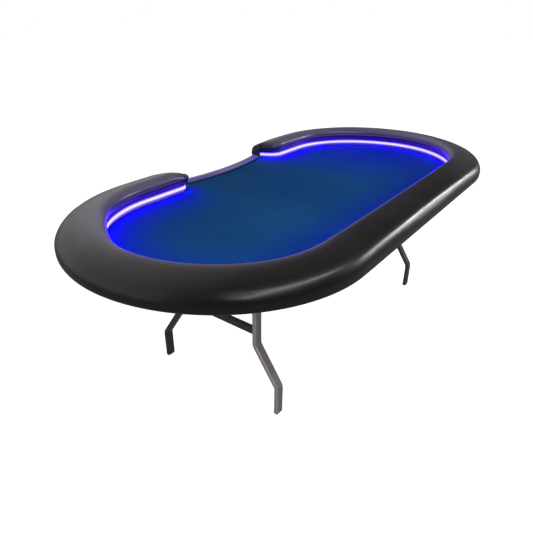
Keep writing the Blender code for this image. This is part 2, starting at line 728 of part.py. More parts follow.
def make_stay(side, top, foot):
    """The two links of a folding stay and the pins at its ends."""
    upper, lower = link_lengths()
    rise = math.atan2(STAY_TOP_Z - STAY_FOOT_Z, STAY_REACH - STAY_FOOT_OUT)
    link(f"{side}_upper_stay", upper, STAY_PLANE, top, math.pi + rise, 1)
    link(f"{side}_lower_stay", lower, -STAY_PLANE, foot, rise, -1)
    half = EAR_GAP + PLATE + PIN_PLAY
    head, rim = PIN_RADIUS + PIN_HEAD, half + PIN_HEAD_THICK
    start = [(head, -rim), (head, -half), (PIN_RADIUS, -half)]
    through = [(PIN_RADIUS, half), (head, half), (head, rim)]
    flush = [(PIN_RADIUS, STAY_THICK / 2 - 0.0001)]
    turned(f"{side}_stay_top_pin", start + through, (0, STAY_PLANE, 0), (0, 1, 0), 12, STEEL, top)
    turned(f"{side}_stay_foot_pin", start + flush, (0, -STAY_PLANE, 0), (0, 1, 0), 12, STEEL, foot)


# ---- Leg sets ---------------------------------------------------------------------------------------------


def leg_frame(sign):
    """The frame at a leg set's pivot. Its X axis points to the table's middle."""
    turn = Matrix.Rotation(math.pi if sign > 0 else 0, 4, "Z")
    return Matrix.Translation((sign * LEG_X, 0, PIVOT_Z)) @ turn


def leg_empty(name, sign, x, z):
    return make_empty(name, leg_frame(sign) @ Vector((x, 0, z)), turned=sign > 0)


def make_legs(side, sign, meshes):
    """Two legs with their feet, the crossbar and the pivot tube. Returns the crossbar."""
    pivot = leg_empty(f"{side}_leg_pivot", sign, 0, 0)
    for label, way in (("front", sign), ("back", -sign)):
        place_mesh(f"{side}_{label}_leg", meshes["leg", way], pivot)
        place_mesh(f"{side}_{label}_foot", meshes["plug", way], pivot)
    place_mesh(f"{side}_pivot_tube", meshes["pivot_tube"], pivot)
    return place_mesh(f"{side}_crossbar", meshes["crossbar"], pivot)


def make_screws(side, sign, label, spots):
    """Screws up into the panel. Returns their holes in the panel."""
    holes = []
    for i, (x, y) in enumerate(spots):
        place = leg_frame(sign) @ Vector((x, y, 0))
        place.z = PANEL_BOTTOM - PLATE - 2 * GAP
        turned(f"{side}_{label}_screw_{i + 1}", SCREW, place, (0, 0, 1), 8, STEEL)
        holes.append(((place.x, place.y, PANEL_BOTTOM), (0, 0, 1), PILOT_HOLE, 0.024))
    return holes


def make_leg_set(side, sign, meshes):
    """A leg set with the brackets and the stay that hold it. Returns its holes in the panel."""
    crossbar = make_legs(side, sign, meshes)
    make_pivot_bracket(f"{side}_pivot_bracket", leg_empty(f"{side}_bracket_frame", sign, 0, 0))
    top = leg_empty(f"{side}_stay_top", sign, STAY_REACH, STAY_TOP_Z - PIVOT_Z)
    foot = leg_empty(f"{side}_stay_foot", sign, STAY_FOOT_OUT, STAY_FOOT_Z - PIVOT_Z)
    stay_bracket(f"{side}_stay_bracket", top)
    cut_with(crossbar, stay_lug(f"{side}_stay_lug", foot), "UNION")
    make_stay(side, top, foot)
    stay_screws = [(STAY_REACH, STAY_PLANE - STAY_SCREW_Y), (STAY_REACH, STAY_PLANE + STAY_SCREW_Y)]
    holes = make_screws(side, sign, "pivot", PIVOT_SCREWS)
    return holes + make_screws(side, sign, "stay", stay_screws)


# ---- Assembly ---------------------------------------------------------------------------------------------

for old in list(bpy.data.objects):
    bpy.data.objects.remove(old)

VINYL_BLACK = material("black_vinyl", (0.020, 0.019, 0.021), 0.38)
CLOTH_BLUE = material("blue_cloth", (0.012, 0.052, 0.160), 0.90)
FOAM = material("foam", (0.75, 0.72, 0.62), 0.95)
PLYWOOD = material("plywood", (0.52, 0.36, 0.20), 0.70)
STEEL = material("dark_steel", (0.070, 0.062, 0.060), 0.45, 0.3)
ALUMINIUM = material("aluminium", (0.60, 0.60, 0.62), 0.35, 1.0)
TAPE_WHITE = material("light_tape", (0.85, 0.85, 0.80), 0.60)
DIFFUSER = material("milky_cover", (0.80, 0.80, 0.90), 0.50)
PLASTIC = material("black_plastic", (0.03, 0.03, 0.03), 0.50)

make_rail_vinyl()
rail_core, rail_riser = make_rail_filling()
make_end_cover("rail_end_cover_right", 0, 1)
make_end_cover("rail_end_cover_left", -1, -2)
make_dealer_edge()
make_light_strip()

base_panel = prism("base_panel", panel_outline(), PANEL_BOTTOM, PANEL_TOP, PLYWOOD)
prism("play_board", play_outline(BOARD_INSET), PANEL_TOP + GAP, BOARD_TOP, PLYWOOD)
prism("cloth_foam", play_outline(BOARD_INSET), BOARD_TOP + GAP, FOAM_TOP, FOAM)
prism("speed_cloth", play_outline(CLOTH_INSET), FOAM_TOP + GAP, CLOTH_TOP, CLOTH_BLUE)

make_case()
make_switch_and_socket()
make_lead()

leg_meshes = {("leg", way): leg_mesh(way) for way in (-1, 1)}
leg_meshes.update({("plug", way): plug_mesh(way) for way in (-1, 1)})
leg_meshes["crossbar"] = crossbar_mesh()
leg_meshes["pivot_tube"] = pivot_tube_mesh()
panel_holes = make_leg_set("left", -1, leg_meshes) + make_leg_set("right", 1, leg_meshes)

for label, (x, y) in RAIL_BOLTS.items():
    turned(f"rail_bolt_{label}", BOLT, (x, y, PANEL_BOTTOM - GAP), (0, 0, 1), 6, STEEL)
bolt_holes = [((x, y, PANEL_TOP), (0, 0, 1), BOLT_HOLE, 0.100) for x, y in RAIL_BOLTS.values()]
lead_hole = ((*LEAD_HOLE, PANEL_BOTTOM), (0, 0, 1), LEAD_HOLE_RADIUS, 0.040)
drill(base_panel, panel_holes + bolt_holes + [lead_hole], sides=6)
drill(rail_riser, bolt_holes, sides=6)
drill(rail_core, bolt_holes, sides=6)
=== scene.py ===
"""Looks of the folding poker table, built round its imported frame. Metres, +Z up, +Y the dealer's side."""

import json
import math

import bmesh
import bpy
from mathutils import Matrix, Vector

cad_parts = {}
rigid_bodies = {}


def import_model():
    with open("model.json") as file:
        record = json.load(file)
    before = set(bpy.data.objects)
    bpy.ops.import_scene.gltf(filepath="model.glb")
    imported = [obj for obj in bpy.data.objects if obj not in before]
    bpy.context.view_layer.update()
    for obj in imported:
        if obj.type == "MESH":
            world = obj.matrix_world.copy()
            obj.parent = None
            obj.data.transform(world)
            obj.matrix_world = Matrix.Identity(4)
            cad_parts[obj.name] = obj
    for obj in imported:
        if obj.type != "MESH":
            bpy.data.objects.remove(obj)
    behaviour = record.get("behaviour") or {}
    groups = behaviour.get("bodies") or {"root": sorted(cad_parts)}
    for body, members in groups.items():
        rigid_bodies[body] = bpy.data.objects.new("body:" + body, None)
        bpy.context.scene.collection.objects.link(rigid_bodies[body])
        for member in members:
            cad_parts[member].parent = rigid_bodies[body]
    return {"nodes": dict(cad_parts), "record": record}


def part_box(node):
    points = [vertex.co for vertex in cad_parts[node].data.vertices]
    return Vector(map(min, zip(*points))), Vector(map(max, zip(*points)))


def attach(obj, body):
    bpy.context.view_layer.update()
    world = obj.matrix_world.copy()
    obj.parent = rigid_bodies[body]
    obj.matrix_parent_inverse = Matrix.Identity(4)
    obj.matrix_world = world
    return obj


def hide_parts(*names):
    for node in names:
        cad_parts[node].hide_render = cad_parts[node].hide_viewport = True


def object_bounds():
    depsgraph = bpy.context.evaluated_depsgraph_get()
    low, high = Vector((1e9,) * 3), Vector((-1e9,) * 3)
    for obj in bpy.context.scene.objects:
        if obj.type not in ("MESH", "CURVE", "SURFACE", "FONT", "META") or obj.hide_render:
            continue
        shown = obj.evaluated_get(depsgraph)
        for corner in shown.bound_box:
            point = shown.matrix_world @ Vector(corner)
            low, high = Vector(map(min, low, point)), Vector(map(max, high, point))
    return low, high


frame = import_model()
CAD_LOW, CAD_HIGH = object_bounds()

# ---- Sizes, from the frame -----------------------------------------------------------------------

RAIL_LOW, RAIL_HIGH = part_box("rail_vinyl")
HALF_WIDTH = RAIL_HIGH.y
STRAIGHT = RAIL_HIGH.x - HALF_WIDTH
GAP = 0.0003
WALL_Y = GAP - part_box("led_channel")[0].y
RAIL_WALL = HALF_WIDTH - WALL_Y
RAIL_BOTTOM = RAIL_LOW.z
RAIL_CREST = RAIL_HIGH.z
CHANNEL_LOW, CHANNEL_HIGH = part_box("led_channel")[0].z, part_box("led_channel")[1].z
CLOTH_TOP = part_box("speed_cloth")[1].z
CLOTH_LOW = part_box("speed_cloth")[0].z
PANEL_LOW, PANEL_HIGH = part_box("base_panel")[0].z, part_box("base_panel")[1].z
RISER_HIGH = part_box("rail_riser")[1].z
PANEL_INSET = HALF_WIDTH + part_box("base_panel")[0].y
RISER_INSET = HALF_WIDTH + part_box("rail_riser")[0].y
EDGE_LOW, EDGE_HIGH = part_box("dealer_edge_vinyl")

# Shapes of the visible surface
RAIL_NOSE = RAIL_WALL + 0.017
SIDE_BULGE = 0.003
FOOT_SAG = 0.006
BAY = {
    "left": {"side": -1, "wall_x": 0.330, "corner": 0.035, "turn": 70, "run": 0.0, "end_x": 0.335},
    "right": {"side": 1, "wall_x": 0.350, "corner": 0.070, "turn": 65, "run": 0.046, "end_x": 0.333},
}
# How the rail in the photo strays from a true stadium: (direction in degrees, spread in degrees, metres)
EDGE_STRAYS = {"left": ((118, 50, 0.012), (200, 62, -0.010)), "right": ((-33, 42, 0.014),)}
WALL_STRAYS = ((148, 30, 0.017), (25, 55, 0.014))
# The upper padding at the rail's ends: rounded in plan at the left one, and lower at both
CORNER_TRIM = {"reach": 0.115, "depth": 0.080, "from_z": 0.712, "rise": 0.026}
END_FALL = {"height": 0.024, "reach": 0.105, "from_z": 0.735}
END_BULGE = {"left": 0.032, "right": 0.013}
# The cloth simulation that swells the padding
PAD_PRESSURE = 4.0
PAD_FRAMES = 20
PAD_CAP = 0.005
PAD_EVENING = 8
PAD_HELD = 0.012
PAD_LET_GO = 0.030
# The dealer's edge, and the table's panel under the bay
BAY_ARC_RADIUS = 1.30
EDGE_WIDTH = 0.039
PANEL_BAY_REACH = 0.300
# Legs
LOWER_KNEE_Z = 0.130
UPPER_KNEE_Z = 0.289
KNEE_RADIUS = 0.034
TUBE_CORNER = 0.0042
# How finely lines are divided
CAP_STEPS = 120
RUN_STEP = 0.015
CORNER_STEPS = 16
RUN_STEPS = 5
PILLOW_STEPS = 9
BAY_STEPS = 24
BAND_STEPS = 40
KNEE_STEPS = 10

# ---- Mesh helpers --------------------------------------------------------------------------------


def finish_mesh(name, bm, finish, body, stands_for, angle=35):
    """Makes a piece of the mesh, on its body and in place of the CAD nodes it stands for."""
    bmesh.ops.remove_doubles(bm, verts=bm.verts, dist=1e-6)
    bmesh.ops.recalc_face_normals(bm, faces=bm.faces)
    mesh = bpy.data.meshes.new(name)
    bm.to_mesh(mesh)
    bm.free()
    mesh.materials.append(finish)
    mesh.shade_smooth()
    mesh.set_sharp_from_angle(angle=math.radians(angle))
    piece = bpy.data.objects.new(name, mesh)
    bpy.context.scene.collection.objects.link(piece)
    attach(piece, body)
    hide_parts(*stands_for)
    return piece


def arc(centre, radii, start, end, steps):
    """Points on an ellipse from start to end, in degrees."""
    angles = [math.radians(start + (end - start) * i / steps) for i in range(steps + 1)]
    return [(centre[0] + radii[0] * math.cos(a), centre[1] + radii[1] * math.sin(a)) for a in angles]


def skin_rings(bm, rings):
    """Quads between rings of equal length, and a face across each end. Each ring is a closed outline."""
    made = [[bm.verts.new(p) for p in ring] for ring in rings]
    count = len(rings[0])
    for a, b in zip(made, made[1:]):
        for i in range(count):
            j = (i + 1) % count
            bm.faces.new((a[i], a[j], b[j], b[i]))
    bm.faces.new(made[0][::-1])
    bm.faces.new(made[-1])


# ---- Plan of the rail ----------------------------------------------------------------------------


def bay_corner(bay):
    """The rail's wall beside the bay, from its tip: a short straight run, then a round corner."""
    reach = bay["corner"]
    centre = (bay["wall_x"] + reach, WALL_Y + reach)
    corner = arc(centre, (reach, reach), 270 - bay["turn"], 270, CORNER_STEPS)
    turn = math.radians(bay["turn"])
    ahead = Vector((-math.cos(turn), math.sin(turn))) * bay["run"]
    start = Vector(corner[0])
    run = [tuple(start + ahead * (1 - i / RUN_STEPS)) for i in range(RUN_STEPS)] if bay["run"] else []
    return run + corner


def bay_stations(bay):
    """(edge point, wall point) pairs round the rail's corner beside the bay, starting at its tip."""
    walls = bay_corner(bay)
    last_x = bay["wall_x"] + bay["corner"]
    pairs = []
    for i, wall in enumerate(walls):
        edge_x = bay["end_x"] + (last_x - bay["end_x"]) * i / (len(walls) - 1)
        edge = Vector((bay["side"] * edge_x, HALF_WIDTH))
        pairs.append((edge, Vector((bay["side"] * wall[0], wall[1]))))
    return pairs


def stray(turn, strays):
    """How far the outline strays in one direction, as smooth bumps."""
    total = 0.0
    for direction, spread, amount in strays:
        off = abs((turn - direction + 180) % 360 - 180) / spread
        if off < 1:
            total += amount * (0.5 + 0.5 * math.cos(math.pi * off))
    return total


def back_left_edge(edge):
    """The edge's straight run behind the left end, carried on from where the round end strays to."""
    if edge.y < HALF_WIDTH - 1e-6 or not -STRAIGHT < edge.x < 0:
        return edge
    return edge + Vector((0, stray(90, EDGE_STRAYS["left"])))


def settled(p):
    """Lets the top of the padding fall towards the rail's two ends, and rounds the left end in plan."""
    along = abs(p.x) - BAY["left"]["end_x"]
    if p.y < 0 or along > CORNER_TRIM["reach"]:
        return p
    share = max(0.0, (p.z - END_FALL["from_z"]) / (RAIL_CREST - END_FALL["from_z"]))
    fall = END_FALL["height"] * share * (1 - min(1.0, max(along / END_FALL["reach"], 0.0))) ** 2
    pull = 0.0
    if p.x < 0:
        outer = min(1.0, max(0.0, (p.y - WALL_Y) / (HALF_WIDTH - WALL_Y)))
        risen = min(1.0, max(0.0, (p.z - CORNER_TRIM["from_z"]) / CORNER_TRIM["rise"]))
        pull = CORNER_TRIM["depth"] * outer * risen * (1 - max(along / CORNER_TRIM["reach"], 0.0)) ** 2
    return p - Vector((0, pull, fall))


def straight_stations(start_x, end_x, side):
    """Pairs between two places along a straight side of the table, without the two places themselves."""
    steps = round(abs(end_x - start_x) / RUN_STEP)
    places = [start_x + (end_x - start_x) * i / steps for i in range(1, steps)]
    return [(Vector((x, side * HALF_WIDTH)), Vector((x, side * WALL_Y))) for x in places]


def cap_stations(side, sign, start):
    """Pairs round one of the table's round ends, clockwise from a direction in degrees."""
    centre = Vector((sign * STRAIGHT, 0))
    pairs = []
    for i in range(CAP_STEPS + 1):
        turn = start - 180 * i / CAP_STEPS
        out = Vector((math.cos(math.radians(turn)), math.sin(math.radians(turn))))
        edge = centre + out * (HALF_WIDTH + stray(turn, EDGE_STRAYS[side]))
        pairs.append((edge, centre + out * (HALF_WIDTH - RAIL_WALL - stray(turn, WALL_STRAYS))))
    return pairs


def rail_stations():
    """Pairs of plan points, on the table's edge and on the rail's wall, from the right tip all round."""
    right, left = bay_stations(BAY["right"]), bay_stations(BAY["left"])[::-1]
    pairs = right + straight_stations(right[-1][0].x, STRAIGHT, 1)
    pairs += cap_stations("right", 1, 90) + straight_stations(STRAIGHT, -STRAIGHT, -1)
    pairs += cap_stations("left", -1, 270) + straight_stations(-STRAIGHT, left[0][0].x, 1) + left
    return [(back_left_edge(edge), wall) for edge, wall in pairs]


def rail_frames():
    """The stations with, for each, the direction that leads from the wall over the playing surface."""
    stations = rail_stations()
    inner = offset_line([wall for _, wall in stations], 0.01)
    return [(edge, wall, (a - wall).normalized()) for (edge, wall), a in zip(stations, inner)]


def rail_point(station, inward, z):
    """Distances as far as the wall shrink with the rail's width. The nose beyond it doesn't."""
    edge, wall, over = station
    if inward <= RAIL_WALL:
        p = edge.lerp(wall, inward / RAIL_WALL)
    else:
        p = wall + over * (inward - RAIL_WALL)
    return Vector((p.x, p.y, z))


def offset_line(points, distance):
    """A plan line moved sideways, to its left as it runs clockwise from above, with mitred corners."""
    moved = []
    for i, p in enumerate(points):
        before = (p - points[i - 1]).normalized() if i else None
        after = (points[i + 1] - p).normalized() if i + 1 < len(points) else None
        along = ((before or after) + (after or before)).normalized()
        stretch = 1.0 if before is None or after is None else 1 / max(0.5, along.dot(before))
        moved.append(p + Vector((along.y, -along.x)) * distance * stretch)
    return moved


def wall_line(distance):
    """The rail's wall in plan, moved over the playing surface by a distance."""
    return offset_line([wall for _, wall in rail_stations()], distance)


def bay_arc(y_at_middle, x):
    """The y, at a given x, of an arc across the bay that has a given y at the table's middle."""
    return y_at_middle + x * x / (2 * BAY_ARC_RADIUS)


# ---- Rail ----------------------------------------------------------------------------------------


def hermite(a, b, slope_a, slope_b, steps):
    """Points between a and b, leaving a and reaching b along the given directions."""
    points = []
    for i in range(1, steps):
        t = i / steps
        h = (2 * t**3 - 3 * t**2 + 1, t**3 - 2 * t**2 + t, -2 * t**3 + 3 * t**2, t**3 - t**2)
        x = h[0] * a[0] + h[1] * slope_a[0] + h[2] * b[0] + h[3] * slope_b[0]
        z = h[0] * a[1] + h[1] * slope_a[1] + h[2] * b[1] + h[3] * slope_b[1]
        points.append((x, z))
    return points


def rail_profile():
    """(inward, height, softness) round the rail. Softness is how far its end rounding reaches there."""
    low, foot = RAIL_BOTTOM, RAIL_BOTTOM - FOOT_SAG
    out = -SIDE_BULGE
    points = [(0.064, low, 0.0), (0.048, low - 0.001, 0.1), (0.030, foot + 0.0004, 0.3)]
    points += [(n, z, 0.6) for n, z in arc((out + 0.014, foot + 0.015), (0.014, 0.015), 270, 180, 6)]
    side, brow, middle = (out, foot + 0.028), (0.020, RAIL_CREST - 0.0300), (0.056, RAIL_CREST - 0.0160)
    nose_height = 0.031
    nose_centre = (RAIL_NOSE - 0.033, RAIL_CREST - nose_height)
    nose = arc(nose_centre, (RAIL_NOSE - nose_centre[0], nose_height), 90, -56, 18)
    shoulder = [side] + hermite(side, brow, (0.0, 0.040), (0.032, 0.0230), 12) + [brow]
    top = hermite(brow, middle, (0.032, 0.0210), (0.036, 0.0098), 5) + [middle]
    top += hermite(middle, nose[0], (0.067, 0.0182), (0.067, 0.0), 7)
    points += [(n, z, 1.0) for n, z in shoulder + top + nose]
    tuck = (RAIL_WALL, nose[-1][1] - 0.0060)
    points += [(tuck[0] + 0.0015, tuck[1] + 0.002, 0.5), (*tuck, 0.2)]
    points += [(RAIL_WALL, z, 0.1) for z in (low + 0.018, low + 0.009, low)]
    points += [(0.115, low, 0.0), (0.090, low, 0.0)]
    return points


def inward_normals(points):
    """The direction, at each point of a closed profile, that leads into it."""
    normals = []
    count = len(points)
    for i in range(count):
        before, after = points[i - 1], points[(i + 1) % count]
        along = Vector((after[0] - before[0], after[1] - before[1])).normalized()
        normals.append(Vector((along.y, -along.x)))
    return normals


def rail_end_rings(tip, bulge, profile, normals):
    """Rings that round the rail off at its tip like a pillow, from the middle of its end outwards."""
    across = tip[1] - tip[0]
    away = Vector((-across.y, across.x, 0)).normalized()
    if away.x * tip[0].x > 0:
        away = -away
    squeeze = RAIL_WALL / across.length
    rings = []
    for i in range(PILLOW_STEPS + 1):
        turn = math.radians(90 * i / PILLOW_STEPS)
        inset, out = bulge * 0.92 * (1 - math.sin(turn)), bulge * math.cos(turn)
        ring = []
        for (n, z, soft), normal in zip(profile, normals):
            inward, height = n + normal.x * inset * soft * squeeze, z + normal.y * inset * soft
            p = rail_point(tip, inward, height) + away * out
            if out > 0.001:
                p.z = max(p.z, EDGE_HIGH.z + 0.0006)
            ring.append(p)
        rings.append(ring)
    centre = sum(rings[0], Vector()) / len(rings[0])
    face = []
    for share, proud in ((0.10, 0.10), (0.35, 0.09), (0.60, 0.065), (0.82, 0.03)):
        face.append([centre + (p - centre) * share + away * proud * bulge for p in rings[0]])
    return face + rings


def padding_softness(p):
    """0 where the cover is stapled or lies on wood, 1 on the open padding."""
    rise = (p.z - RAIL_BOTTOM - PAD_HELD) / PAD_LET_GO
    return max(0.0, min(1.0, rise))


def give_softness(piece, softness):
    """Stores how firmly each point is held, for the cloth simulation, in the group held."""
    group = piece.vertex_groups.new(name="held")
    for vertex in piece.data.vertices:
        group.add([vertex.index], 1.0 - softness(vertex.co), "REPLACE")


def evened(mesh, pushes, rounds):
    """The pushes after each point has shared its own with its neighbours a number of times."""
    for _ in range(rounds):
        totals = [push.copy() for push in pushes]
        counts = [1] * len(pushes)
        for edge in mesh.edges:
            a, b = edge.vertices
            totals[a] += pushes[b]
            totals[b] += pushes[a]
            counts[a] += 1
            counts[b] += 1
        pushes = [total / count for total, count in zip(totals, counts)]
    return pushes


def add_pressure_cloth(piece):
    """A cloth modifier that blows a piece up. The points in its group held stay put."""
    cloth = piece.modifiers.new("padding", "CLOTH")
    settings = cloth.settings
    settings.quality = 4
    settings.mass = 0.4
    settings.tension_stiffness = settings.compression_stiffness = 18
    settings.bending_stiffness = 2.0
    settings.use_pressure = True
    settings.uniform_pressure_force = PAD_PRESSURE
    settings.vertex_group_mass = "held"
    settings.effector_weights.gravity = 0.0
    cloth.point_cache.frame_start, cloth.point_cache.frame_end = 1, PAD_FRAMES


def swell(piece):
    """Swells the padding as a cloth simulation swells a double of it, but nowhere by more than PAD_CAP."""
    scene = bpy.context.scene
    double = bpy.data.objects.new(piece.name + "_double", piece.data.copy())
    scene.collection.objects.link(double)
    for group in piece.vertex_groups:
        double.vertex_groups.new(name=group.name)
    add_pressure_cloth(double)
    for step in range(1, PAD_FRAMES + 1):
        scene.frame_set(step)
    blown = double.evaluated_get(bpy.context.evaluated_depsgraph_get()).to_mesh()
    pushes = [moved.co - vertex.co for vertex, moved in zip(piece.data.vertices, blown.vertices)]
    pushes = [push * min(1.0, PAD_CAP / max(push.length, 1e-9)) for push in pushes]
    for vertex, push in zip(piece.data.vertices, evened(piece.data, pushes, PAD_EVENING)):
        vertex.co += push
    scene.frame_set(1)
    bpy.data.objects.remove(double)


def make_rail(finish):
    """The padded rail with both its closed ends, as one closed mesh."""
    profile = rail_profile()
    flat = [(n, z) for n, z, _ in profile]
    normals = inward_normals(flat)
    frames = rail_frames()
    body = [[rail_point(station, n, z) for n, z in flat] for station in frames]
    right = rail_end_rings(frames[0], END_BULGE["right"], profile, normals)
    left = rail_end_rings(frames[-1], END_BULGE["left"], profile, normals)
    bm = bmesh.new()
    rings = right[:-1] + body + left[:-1][::-1]
    skin_rings(bm, [[settled(p) for p in ring] for ring in rings])
    names = ("rail_vinyl", "rail_foam", "rail_end_cover_left", "rail_end_cover_right")
    rail = finish_mesh("rail_padding", bm, finish, "tabletop", names, angle=60)
    give_softness(rail, padding_softness)
    swell(rail)


def make_rail_wood(ply):
    """The wooden ring inside the padding, a little shorter than the rail, and the riser under it."""
    core_low, core_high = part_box("rail_core")[0].z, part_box("rail_core")[1].z
    outer = HALF_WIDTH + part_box("rail_core")[0].y
    inner = RAIL_WALL - 0.003
    bend = core_low + 0.6 * (core_high - core_low)
    low, high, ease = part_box("rail_riser")[0].z, RISER_HIGH, 0.001
    core = [(outer, core_low), (inner, core_low), (inner, core_high)]
    core += [(outer + 0.012, core_high), (outer, bend)]
    riser = [(RISER_INSET, low + ease), (RISER_INSET + ease, low), (RAIL_WALL - ease, low)]
    riser += [(RAIL_WALL, low + ease), (RAIL_WALL, high), (RISER_INSET, high)]
    pieces = (("rail_core_ring", core, 2, "rail_core"), ("riser_ring", riser, 0, "rail_riser"))
    for name, section, short, node in pieces:
        frames = rail_frames()
        frames = frames[short:len(frames) - short]
        bm = bmesh.new()
        skin_rings(bm, [[settled(rail_point(frame_at, n, z)) for n, z in section] for frame_at in frames])
        finish_mesh(name, bm, ply, "tabletop", [node])


def sweep_wall(name, profile, finish, stands_for, angle=35):
    """Sweeps a closed profile of (distance from the wall, height) along the rail's wall."""
    lanes = {d: wall_line(d) for d, _ in profile}
    count = len(lanes[profile[0][0]])
    rings = [[(lanes[d][i].x, lanes[d][i].y, z) for d, z in profile] for i in range(count)]
    bm = bmesh.new()
    skin_rings(bm, rings)
    finish_mesh(name, bm, finish, "tabletop", stands_for, angle)


def make_lights(channel_finish, cover_finish, tape_finish):
    """The light strip: an open channel on the wall, the tape on its back, the domed cover in its mouth."""
    low, high = CHANNEL_LOW, CHANNEL_HIGH
    depth, t, r = 0.0065, 0.0012, 0.0006
    channel = [(GAP, low), (depth - r, low), (depth, low + r), (depth, low + t), (t, low + t)]
    channel += [(t, high - t), (depth, high - t), (depth, high - r), (depth - r, high), (GAP, high)]
    sweep_wall("light_channel", channel, channel_finish, ["led_channel"])
    inner_low, inner_high = low + t + GAP, high - t - GAP
    middle, half = (inner_low + inner_high) / 2, (inner_high - inner_low) / 2
    dome = arc((depth - 0.0012, middle), (0.0016, half), -90, 90, 8)
    cover = [(depth - 0.0024, inner_low)] + dome + [(depth - 0.0024, inner_high)]
    sweep_wall("light_cover", cover, cover_finish, ["led_diffuser"], angle=50)
    near, far, tall = t + GAP, t + 0.0012, 0.004
    tape = [(near, middle - tall), (far, middle - tall), (far, middle + tall), (near, middle + tall)]
    sweep_wall("light_tape", tape, tape_finish, ["led_tape"])


# ---- Tabletop ------------------------------------------------------------------------------------


def bay_limit(y_at_middle, bay, gap):
    """Where an arc of the bay's edge meets the rail's end face, less a gap."""
    tip = bay_corner(bay)[0]
    slope = (tip[0] - bay["end_x"]) / (HALF_WIDTH - tip[1])
    x = bay["end_x"]
    for _ in range(20):
        x = bay["end_x"] + (HALF_WIDTH - bay_arc(y_at_middle, x)) * slope - gap
    return bay["side"] * x


EDGE_Y = EDGE_HIGH.y - bay_arc(0, BAY["right"]["end_x"])


def play_outline(distance):
    """The playing surface in plan, as points, pulled in by distance from the rail's wall."""
    outline = [Vector(p) for p in wall_line(distance)]
    back = EDGE_Y - EDGE_WIDTH - distance
    left, right = bay_limit(back, BAY["left"], 0.004), bay_limit(back, BAY["right"], 0.004)
    bay = [left + (right - left) * i / BAY_STEPS for i in range(BAY_STEPS + 1)]
    return outline + [Vector((x, bay_arc(back, x))) for x in bay]


def make_cloth(finish):
    """The cloth, with its border turned down into the gap under the lights."""
    bm = bmesh.new()
    turn = 0.0022
    levels = [(0.0008, CLOTH_LOW), (0.0008, CLOTH_TOP - turn)]
    for i in range(1, 5):
        a = math.radians(90 * i / 4)
        levels.append((0.0008 + turn * (1 - math.cos(a)), CLOTH_TOP - turn * (1 - math.sin(a))))
    rings = [[(p.x, p.y, z) for p in play_outline(d)] for d, z in levels]
    skin_rings(bm, rings)
    finish_mesh("playing_cloth", bm, finish, "tabletop", ["speed_cloth"], angle=50)


def plate(name, outline_at, low, high, ease, finish, stands_for):
    """A board with slightly eased edges. outline_at gives its outline pulled in by a distance."""
    bm = bmesh.new()
    levels = [(ease, low), (0, low + ease), (0, high - ease), (ease, high)]
    rings = [[(p[0], p[1], z) for p in outline_at(d)] for d, z in levels]
    skin_rings(bm, rings)
    finish_mesh(name, bm, finish, "tabletop", stands_for, angle=40)


def make_boards(ply, foam):
    """The layers under the cloth, and the panel that carries the table."""

    def board_outline(d):
        return play_outline(0.0012 + d)

    def panel_outline(d):
        ring = [rail_point(at, PANEL_INSET + d, 0) for at in rail_frames()[8:-3]]
        bay = [PANEL_BAY_REACH * (2 * i / BAY_STEPS - 1) for i in range(BAY_STEPS + 1)]
        return ring + [Vector((x, bay_arc(EDGE_Y - 0.004 - d, x))) for x in bay]

    foam_low, foam_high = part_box("cloth_foam")[0].z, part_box("cloth_foam")[1].z
    board_low, board_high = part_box("play_board")[0].z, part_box("play_board")[1].z
    plate("cloth_underlay", board_outline, foam_low, foam_high, 0.0006, foam, ["cloth_foam"])
    plate("playing_board", board_outline, board_low, board_high, 0.0006, ply, ["play_board"])
    plate("table_panel", panel_outline, PANEL_LOW, PANEL_HIGH, 0.0015, ply, ["base_panel"])


def edge_sweep(name, profile, finish, stands_for):
    """Sweeps a profile of (distance in from the bay's edge, height) across the bay."""
    ends = []
    for n, _ in profile:
        y = EDGE_Y - n
        ends.append((bay_limit(y, BAY["left"], 0.0042), bay_limit(y, BAY["right"], 0.0042)))
    rings = []
    for i in range(BAND_STEPS + 1):
        xs = [left + (right - left) * i / BAND_STEPS for left, right in ends]
        rings.append([(x, bay_arc(EDGE_Y - n, x), z) for (n, z), x in zip(profile, xs)])
    bm = bmesh.new()
    skin_rings(bm, rings)
    finish_mesh(name, bm, finish, "tabletop", stands_for, angle=50)


def make_dealer_edge(finish, ply):
    """The low padded edge across the bay: a rounded band, then a narrow step down to the cloth."""
    low, high = EDGE_LOW.z, EDGE_HIGH.z
    band, step = 0.031, 0.0075
    profile = [(0.006, low), (0.0, low + 0.004)]
    profile += arc((0.009, high - 0.009), (0.009, 0.009), 180, 100, 7)
    profile += hermite(profile[-1], (band - 0.005, high - 0.0004), (0.012, 0.001), (0.012, -0.001), 5)
    profile += arc((band - 0.005, high - 0.0054), (0.005, 0.005), 88, 0, 6)
    profile += [(band, high - step), (EDGE_WIDTH, high - step), (EDGE_WIDTH, low)]
    edge_sweep("dealer_edge", profile, finish, ["dealer_edge_vinyl"])
    inset, core_high = 0.003, high - step - 0.002
    core = [(inset, low), (inset, core_high), (EDGE_WIDTH - inset, core_high), (EDGE_WIDTH - inset, low)]
    edge_sweep("dealer_edge_strip", core, ply, ["dealer_edge_core"])


# ---- Legs ----------------------------------------------------------------------------------------


